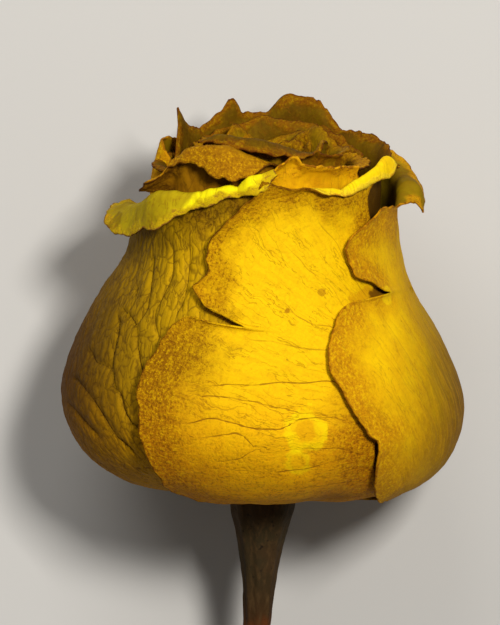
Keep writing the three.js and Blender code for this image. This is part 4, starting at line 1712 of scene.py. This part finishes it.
class Bloom:
    """The bloom's petals, from the outer whorl to the heart."""

    # The rows and columns of the grid.
    ROW_SAMPLES = 2001
    ROW_DENSITY = 0.7
    TEAR_DENSITY = 2.6
    TEAR_BAND = 0.025
    EDGE_PACKING = 0.12

    # The fan that the fibres and veins spread out in.
    FLAT_RADIUS = 24.0
    FIBRE_RADIUS = 30.0
    FIBRE_STEPS = (17.0, 9.0)
    OUTER_GAP = 8.0
    FAINT_AWAY = 3.0

    # The shrivelled surface: widths in mm of each kind of unevenness, and how deep it is.
    DENT_SEED, RAGGED_SEED, CRINKLE_SEED, WIGGLE_SEED = 11, 50, 90, 30
    DENT_SIZE, DENT_DEPTH = 13.0, 0.5
    UNEVEN_SIZE, UNEVEN_DEPTH = 3.2, 1.6
    NOTCH_SIZE, NOTCH_DEPTH = 1.1, 1.3
    RIPPLE_SIZE, RIPPLE_REACH = 2.6, 2.2
    WRINKLE_SIZE, WRINKLE_DEPTH = 4.0, 0.10
    CURL_REACH, CURL_DEPTH = 0.9, 0.25
    FURROW_WIDTH, FURROW_START = 0.5, 1.5
    SWELL_WIDTH, SWELL_SHARE = 2.2, 0.35
    TEAR_REACH = 0.024
    REST_ROOM = 2.5

    def __init__(self, placement: Placement) -> None:
        """Prepare the finishes and the dents that neighbouring petals share.

        Args:
            placement: Where the rose lies.
        """
        self.placement = placement
        self.dents = Cloud(self.DENT_SEED)
        self.materials = {name: finish.material() for name, finish in FINISHES.items()}
        self.puckerings = {name: finish.puckering() for name, finish in FINISHES.items()}

    def build(self) -> None:
        """Build and dress every petal."""
        petals = outer_petals()
        for index, whorl in enumerate(WHORLS):
            petals += whorl.grown(index)
        for petal in petals:
            piece = self.shape(petal)
            self.dress(piece, petal)
            LOG.info("%s: %d faces", petal.name, len(piece.data.polygons))

    @classmethod
    def _packed(cls, count: int, tears: tuple[Tear, ...], reach: float) -> np.ndarray:
        """Space rows from seat to rim, closer at the rim and round any tear.

        Args:
            count: How many steps.
            tears: The petal's tears.
            reach: The share of the side at the rim.

        Returns:
            Places from 0 to 1.
        """
        fine = np.linspace(0.0, 1.0, cls.ROW_SAMPLES)
        density = cls.ROW_DENSITY + cls.ROW_DENSITY * smooth_step((fine - 0.55) / 0.4)
        for tear in tears:
            density += cls.TEAR_DENSITY * np.exp(-(((fine - tear.share / reach) / cls.TEAR_BAND) ** 2))
        total = np.concatenate(([0.0], np.cumsum((density[1:] + density[:-1]) / 2)))
        return np.interp(np.linspace(0.0, 1.0, count + 1), total / total[-1], fine)

    def shape(self, petal: Petal) -> bpy.types.Object:
        """Model a petal: a grid shaped to its surface, puckered round its veins and given its thickness.

        Args:
            petal: What to model.

        Returns:
            The finished object, at the origin.
        """
        piece, flat = added_grid(petal.name.replace("_petal", "") + "_dried_petal", *petal.grid)
        mesh = piece.data
        order = np.lexsort((flat[:, 0].round(5), flat[:, 1].round(5)))
        wide = len(np.unique(flat[:, 0].round(5)))
        tall = len(flat) // wide

        u = flat[order, 0]
        v = (flat[order, 1] + 1.0) / 2.0
        across = u * (1.0 + self.EDGE_PACKING - self.EDGE_PACKING * u * u)
        places = self._packed(tall - 1, petal.tears, float(smooth_value(petal.rim, np.zeros(1))[0]))
        along = places[np.round(v * (tall - 1)).astype(int)]
        points, angle, share, length = petal.middle_surface(across, along)
        points = self._ragged(petal, points, across, along, wide)
        reach, bearing = self._fan(petal, angle, share, length)
        veins, from_vein = self._veined(petal, reach, bearing)
        points, margin = self._crinkled(petal, points, angle, along, share, wide, from_vein)
        aside = np.radians(bearing) * self.FIBRE_RADIUS
        away, over = (step * petal.seed for step in self.FIBRE_STEPS)
        fibres = np.stack([reach + away, aside + over, margin], axis=1)

        laid = self.placement.laid(points)
        laid[:, 2] = np.maximum(laid[:, 2], FLOOR_CLEARANCE * MM)
        placed = np.empty_like(laid)
        placed[order] = laid
        mesh.vertices.foreach_set("co", placed.ravel())
        for name, values in (("fibres", fibres), ("veins", veins)):
            stored = np.empty_like(values)
            stored[order] = values
            layer = mesh.attributes.new(name, "FLOAT_VECTOR", "POINT")
            layer.data.foreach_set("vector", stored.ravel())
        mesh.update()

        mesh.materials.append(self.materials[petal.finish])
        mesh.materials.append(self.materials[INSIDES[petal.finish]])
        pucker = piece.modifiers.new("puckering", "NODES")
        pucker.node_group = self.puckerings[petal.finish]
        wall = piece.modifiers.new("thickness", "SOLIDIFY")
        wall.thickness = PETAL_THICKNESS * MM
        wall.offset = 0.0
        wall.material_offset = 1
        wall.material_offset_rim = 0
        apply_modifiers(piece)
        bpy.ops.object.shade_smooth()
        return piece

    @staticmethod
    def _normals(points: np.ndarray, wide: int) -> np.ndarray:
        """Find a grid of points' outward directions, smoothed over the points next to each.

        Args:
            points: The points, a row of the grid at a time.
            wide: Points in a row.

        Returns:
            A direction of length one for each point.
        """
        grid = points.reshape(-1, wide, 3)
        sideways = np.gradient(grid, axis=1)
        lengthways = np.gradient(grid, axis=0)
        normal = np.cross(sideways, lengthways)
        normal /= np.maximum(np.linalg.norm(normal, axis=2, keepdims=True), 1e-9)
        for _ in range(4):
            padded = np.pad(normal, ((1, 1), (1, 1), (0, 0)), mode="edge")
            normal = 2 * normal + padded[:-2, 1:-1] + padded[2:, 1:-1]
            normal = normal + padded[1:-1, :-2] + padded[1:-1, 2:]
            normal /= np.maximum(np.linalg.norm(normal, axis=2, keepdims=True), 1e-9)
        return normal.reshape(-1, 3)

    def _ragged(
        self, petal: Petal, points: np.ndarray, across: np.ndarray, along: np.ndarray, wide: int
    ) -> np.ndarray:
        """Make a petal's edges uneven by sliding the points near them along the surface.

        Args:
            petal: The petal.
            points: Its surface, a row of the grid at a time.
            across: Where each point is across it.
            along: Where each point is along it.
            wide: Points in a row.

        Returns:
            The moved points.
        """
        cloud = Cloud(petal.seed + self.RAGGED_SEED)
        grid = points.reshape(-1, wide, 3)
        sideways = np.gradient(grid, axis=1).reshape(-1, 3)
        lengthways = np.gradient(grid, axis=0).reshape(-1, 3)
        sideways /= np.maximum(np.linalg.norm(sideways, axis=1, keepdims=True), 1e-9)
        lengthways /= np.maximum(np.linalg.norm(lengthways, axis=1, keepdims=True), 1e-9)
        uneven = cloud.layered(points, self.UNEVEN_SIZE, 4)[:, None]
        notched = cloud.layered(points + 40.0, self.NOTCH_SIZE, 2)[:, None]
        amount = petal.ragged * (self.UNEVEN_DEPTH * uneven + self.NOTCH_DEPTH * notched)
        at_side = (np.abs(across) ** 14)[:, None] * smooth_step(along / 0.2)[:, None]
        at_rim = smooth_step((along - 0.93) / 0.07)[:, None]
        spread = sideways * amount * at_side * np.sign(across)[:, None]
        return points + spread + lengthways * amount * at_rim

    def _crinkled(
        self,
        petal: Petal,
        points: np.ndarray,
        angle: np.ndarray,
        along: np.ndarray,
        share: np.ndarray,
        wide: int,
        from_vein: np.ndarray,
    ) -> tuple[np.ndarray, np.ndarray]:
        """Dent a petal along with its neighbours, crinkle its margin and press its own pushes.

        Args:
            petal: The petal.
            points: Its surface, a row of the grid at a time.
            angle: Degrees round the bloom of each point.
            along: Where each point is along it.
            share: Each point's share of the side.
            wide: Points in a row.
            from_vein: Each point's distance to a main vein.

        Returns:
            The moved points, and each point's distance to the petal's edge.
        """
        index = np.arange(len(points)).reshape(-1, wide)
        border = np.unique(np.concatenate([index[3:, 0], index[3:, -1], index[-1, :]]))
        for tear in petal.tears:
            border = border[np.abs(share[border] - tear.share) > self.TEAR_REACH]
        tree = KDTree(len(border))
        for k in border:
            tree.insert(points[k], int(k))
        tree.balance()
        margin = np.array([tree.find(point)[2] for point in points])

        normal = self._normals(points, wide)
        cloud = Cloud(petal.seed + self.CRINKLE_SEED)
        dent = self.DENT_DEPTH * self.dents.at(points, self.DENT_SIZE)
        dent = dent * smooth_step((along - 0.05) / 0.2)
        near = np.exp(-margin / self.RIPPLE_REACH)
        ripple = petal.crinkle * cloud.layered(points, self.RIPPLE_SIZE, 3) * near
        wrinkle = self.WRINKLE_DEPTH * cloud.layered(points + 90.0, self.WRINKLE_SIZE, 3)
        curl = self.CURL_DEPTH * np.exp(-margin / self.CURL_REACH)
        furrow = -petal.crease * np.exp(-((from_vein / self.FURROW_WIDTH) ** 2))
        furrow = furrow * smooth_step(margin / self.FURROW_START)
        swell = self.SWELL_SHARE * petal.crease * smooth_step(from_vein / self.SWELL_WIDTH)
        moved = dent + ripple + wrinkle + curl + furrow + swell
        height = points[:, 2]
        for push in petal.pushes:
            aside = np.radians(angle - push.angle) * np.hypot(points[:, 0], points[:, 1]) / push.across
            above = (height - push.height) / push.upright
            moved = moved + push.amount * np.exp(-(aside**2) - above**2)
        if petal.rests:
            room = rest_limit(angle, height) - np.hypot(points[:, 0], points[:, 1])
            moved = moved * smooth_step(room / self.REST_ROOM)
        return points + normal * moved[:, None], margin

    @classmethod
    def _fan(
        cls, petal: Petal, angle: np.ndarray, share: np.ndarray, length: np.ndarray
    ) -> tuple[np.ndarray, np.ndarray]:
        """Find each point's place on the fan that a petal's fibres spread out in.

        Args:
            petal: The petal.
            angle: Degrees round the bloom of each point.
            share: Its share of the side.
            length: The side's length there.

        Returns:
            The distance from the fan's start in mm, and the bearing in degrees, 0 to the left and 90
            upwards.
        """
        start_angle, start_share = petal.fan
        aside = np.radians(angle - start_angle) * cls.FLAT_RADIUS
        above = (share - start_share) * length
        return np.hypot(aside, above), np.degrees(np.arctan2(above, -aside))

    def _veined(
        self, petal: Petal, reach: np.ndarray, bearing: np.ndarray
    ) -> tuple[np.ndarray, np.ndarray]:
        """Lay a petal's main veins.

        Args:
            petal: The petal.
            reach: Each point's distance along the fan.
            bearing: Its bearing on the fan.

        Returns:
            Rows of a count that is whole on each vein, the gap between its neighbours in mm and the
            nearest vein's strength; and each point's distance to the nearest vein, greater where the vein
            is faint.
        """
        veins = petal.veins or grown_veins(petal.seed)
        cloud = Cloud(petal.seed + self.WIGGLE_SEED)
        lines = []
        strengths = []
        for number, vein in enumerate(veins):
            place = np.stack([reach, np.full_like(reach, 5.0 * number), np.zeros_like(reach)], axis=1)
            wiggle = cloud.layered(place, 3.4, 2)
            lines.append(smooth_value(vein.path, reach) + wiggle * 22.0 / np.maximum(reach, 8.0))
            start, end = vein.path[0][0], vein.path[-1][0]
            shown = smooth_step((reach - start + 2.5) / 4.0) * smooth_step((end + 2.5 - reach) / 5.0)
            strengths.append(vein.strength * shown)
        lines = np.array(lines)
        strengths = np.array(strengths)
        nearest = np.argmin(np.abs(lines - bearing), axis=0)
        columns = np.arange(len(reach))
        strength = strengths[nearest, columns]
        ordered = np.sort(lines, axis=0)
        ends = np.vstack([ordered[:1] - self.OUTER_GAP, ordered, ordered[-1:] + self.OUTER_GAP])
        after = np.clip((ends <= bearing).sum(axis=0), 1, len(ends) - 1)
        low, high = ends[after - 1, columns], ends[after, columns]
        count = after - 1 + np.clip((bearing - low) / np.maximum(high - low, 1e-6), 0.0, 1.0)
        gap = np.maximum(np.radians(high - low) * reach, 0.3)
        away = np.abs(np.radians(lines[nearest, columns] - bearing)) * reach
        faintness = 1.0 - np.minimum(strength * 1.3, 1.0)
        return np.stack([count, gap, strength], axis=1), away + self.FAINT_AWAY * faintness

    def dress(self, piece: bpy.types.Object, petal: Petal) -> None:
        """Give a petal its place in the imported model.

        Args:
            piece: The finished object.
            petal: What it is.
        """
        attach(piece, "root")
        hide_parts(petal.name)


@dataclass
class Stem:
    """The stem and the swollen seat it grows into.

    Attributes:
        placement: Where the rose lies.
        around: Points round it.
        rows: Points down it.
        rib_depth: How deep its dried ribs are.
        ribs: How many ribs it has.
        twist: How far the ribs wander round it, in radians.
        lumps: How high the lumps between them are.
        lump_length: The length down the stem, in mm, that its noise sees as one.
        cloud: The noise that its ribs and lumps follow.
    """

    placement: Placement
    around: int = 72
    rows: int = 320
    rib_depth: float = 0.16
    ribs: int = 8
    twist: float = 0.25
    lumps: float = 0.10
    lump_length: float = 22.0
    cloud: Cloud = field(default_factory=lambda: Cloud(5))

    def build(self) -> None:
        """Build and dress the stem."""
        piece = self.shape()
        piece.data.materials.append(self.bark())
        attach(piece, "root")
        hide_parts("stem")
        LOG.info("%s: %d faces", piece.name, len(piece.data.polygons))

    def shape(self) -> bpy.types.Object:
        """Model the stem: a grid rolled up, ribbed and closed at both ends.

        Returns:
            The finished object, at the origin.
        """
        piece, flat = added_grid("dried_stem", self.around, self.rows)
        mesh = piece.data
        turn = -(flat[:, 0] + 1.0) * math.pi
        place = (flat[:, 1] + 1.0) / 2.0

        outline = np.array(STEM_OUTLINE)
        run = np.concatenate(([0.0], np.cumsum(np.linalg.norm(np.diff(outline, axis=0), axis=1))))
        at = place * run[-1]
        height = np.interp(at, run, outline[:, 0])
        radius = np.interp(at, run, outline[:, 1])
        ring = np.stack([np.sin(turn), -np.cos(turn), height / self.lump_length], axis=1)
        twist = self.twist * self.cloud.at(ring + 5.0, 1.4)
        rib = np.cos(self.ribs * (turn + twist) + height * 0.012)
        deep = self.rib_depth * np.minimum(radius / 2.0, 1.0) * (0.65 + 0.5 * self.cloud.at(ring, 0.8))
        lumps = self.lumps * self.cloud.layered(ring * np.array([1.0, 1.0, 6.0]), 0.7, 3)
        radius = np.maximum(radius + (rib * deep - 0.8 * deep + lumps) * np.minimum(radius, 1.0), 0.0)
        x = radius * np.sin(turn)
        slant = np.where(height <= -STEM_LENGTH + 0.01, -CUT_SLANT * x / STEM_RADIUS / 2.0, 0.0)
        points = np.stack([x + stem_sway(height), -radius * np.cos(turn), height + slant], axis=1)
        laid = self.placement.laid(points)
        laid[:, 2] = np.maximum(laid[:, 2], 0.0)
        mesh.vertices.foreach_set("co", laid.ravel())
        mesh.update()

        select_only(piece)
        bpy.ops.object.mode_set(mode="EDIT")
        bpy.ops.mesh.select_all(action="SELECT")
        bpy.ops.mesh.remove_doubles(threshold=0.00001)
        bpy.ops.mesh.normals_make_consistent(inside=False)
        bpy.ops.object.mode_set(mode="OBJECT")
        bpy.ops.object.shade_smooth()
        return piece

    @staticmethod
    def bark() -> bpy.types.Material:
        """Build the stem's finish: dark, ribbed, with reddish lengths.

        Returns:
            The finished material.
        """
        made = bpy.data.materials.new("stem_bark")
        made.use_nodes = True
        w = Weave(made.node_tree)
        place = w.scaled(w.add("ShaderNodeTexCoord").outputs["Object"], (1 / MM,) * 3)
        streak = w.noise(w.scaled(place, (1.0, 0.12, 1.0)), 1.6, 4.0, 0.65)
        patch = w.fade(w.noise(place, 0.16, 3.0), 0.40, 0.62)
        seat = w.fade(w.add("ShaderNodeSeparateXYZ", Vector=place).outputs[1], 8.0, 20.0)
        body = w.mix(patch, (0.052, 0.022, 0.007), (0.105, 0.029, 0.007))
        body = w.mix(w.math("MULTIPLY", seat, 0.8), body, (0.034, 0.027, 0.012))
        body = w.mix(w.fade(streak, 0.45, 0.75), body, (0.075, 0.042, 0.016))
        body = w.mix(w.fade(w.noise(place, 1.1, 3.0), 0.60, 0.75), body, (0.013, 0.009, 0.006))
        ridges = w.math("MULTIPLY", streak, 0.16)
        height = w.math("ADD", ridges, w.math("MULTIPLY", w.noise(place, 5.0, 3.0), 0.05))
        w.dull_surface(body, height)
        return made


@dataclass(frozen=True)
class Lamp:
    """A soft square light that faces the bloom.

    Attributes:
        name: The light's name.
        place: Where it hangs, in metres.
        size: Its side in metres.
        power: Its power in watts.
        tint: Its colour.
    """

    BLOOM_MIDDLE = (0.0, 0.055, 0.02)

    name: str
    place: tuple[float, float, float]
    size: float
    power: float
    tint: Colour

    def hang(self) -> None:
        """Hang the light and turn it to the bloom."""
        data = bpy.data.lights.new(self.name, "AREA")
        data.size = self.size
        data.energy = self.power
        data.color = self.tint
        lamp = bpy.data.objects.new(self.name, data)
        bpy.context.scene.collection.objects.link(lamp)
        lamp.location = self.place
        lamp.rotation_mode = "QUATERNION"
        facing = Vector(self.BLOOM_MIDDLE) - Vector(self.place)
        lamp.rotation_quaternion = facing.to_track_quat("-Z", "Y")


LAMPS: tuple[Lamp, ...] = (
    Lamp("key", (0.15, 0.20, 0.62), 0.10, 3.7, (1.0, 0.97, 0.92)),
    Lamp("fill", (-0.16, 0.5, 0.42), 0.4, 1.6, (1.0, 0.98, 0.95)),
)


@dataclass
class Studio:
    """The floor, the lights and the camera.

    Attributes:
        placement: Where the rose lies.
        rise: Degrees that the camera stands above the bloom's own level, towards its crown.
        distance: From the camera to the petals' seats, in metres.
        frame_height: Height of the camera's view at the rose, in mm.
        aim: Right and up, from the petals' seats to the middle of the view, in mm.
        sensor: Height of the camera's sensor, in mm.
        floor_side: Side of the floor, in metres.
        floor_colour: The floor's colour.
        daylight: Strength of the light from all round.
        daylight_tint: Its colour.
    """

    placement: Placement
    rise: float = 13.0
    distance: float = 1.5
    frame_height: float = 84.4
    aim: tuple[float, float] = (-1.75, 26.0)
    sensor: float = 24.0
    floor_side: float = 3.0
    floor_colour: Colour = (0.55, 0.54, 0.52)
    daylight: float = 0.13
    daylight_tint: Colour = (1.0, 0.98, 0.95)

    def build(self) -> None:
        """Build everything round the rose."""
        self.camera()
        self.floor()
        self.world()
        for lamp in LAMPS:
            lamp.hang()

    def camera(self) -> None:
        """Look at the rose's front, with its crown at the top of the view."""
        rise = math.radians(self.rise)
        back = Vector((0.0, -math.cos(rise), math.sin(rise)))
        up = Vector((0.0, math.sin(rise), math.cos(rise)))
        right = Vector((1.0, 0.0, 0.0))
        turn = self.placement.turn
        middle = right * self.aim[0] + up * self.aim[1]
        place = turn @ (middle + back * (self.distance / MM)) + self.placement.shift
        data = bpy.data.cameras.new("camera")
        data.sensor_fit = "VERTICAL"
        data.sensor_height = self.sensor
        data.lens = data.sensor_height * self.distance / (self.frame_height * MM)
        data.clip_start = 0.01
        camera = bpy.data.objects.new("camera", data)
        bpy.context.scene.collection.objects.link(camera)
        axes = Matrix((turn @ right, turn @ up, turn @ back)).transposed()
        camera.matrix_world = Matrix.Translation(place * MM) @ axes.to_4x4()
        bpy.context.scene.camera = camera

    def floor(self) -> None:
        """Lay a plain pale floor."""
        deselect_all()
        bpy.ops.mesh.primitive_plane_add(size=self.floor_side, location=(0.0, 0.0, 0.0))
        floor = bpy.context.active_object
        floor.name = "floor"
        made = bpy.data.materials.new("floor")
        made.use_nodes = True
        shader = made.node_tree.nodes["Principled BSDF"]
        shader.inputs["Base Color"].default_value = (*self.floor_colour, 1.0)
        shader.inputs["Roughness"].default_value = 0.9
        floor.data.materials.append(made)

    def world(self) -> None:
        """Fill the shadows a little from all round."""
        world = bpy.data.worlds.new("studio")
        world.use_nodes = True
        background = world.node_tree.nodes["Background"]
        background.inputs["Color"].default_value = (*self.daylight_tint, 1.0)
        background.inputs["Strength"].default_value = self.daylight
        bpy.context.scene.world = world


def main() -> None:
    """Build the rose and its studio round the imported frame."""
    logging.basicConfig(level=logging.INFO, format="%(name)s: %(message)s")
    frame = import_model()
    LOG.info("packed frame: %d nodes", len(frame["nodes"]))
    placement = Placement()
    Studio(placement).build()
    Stem(placement).build()
    Bloom(placement).build()
    bpy.context.scene.view_settings.view_transform = "Standard"


if __name__ == "__main__":
    main()
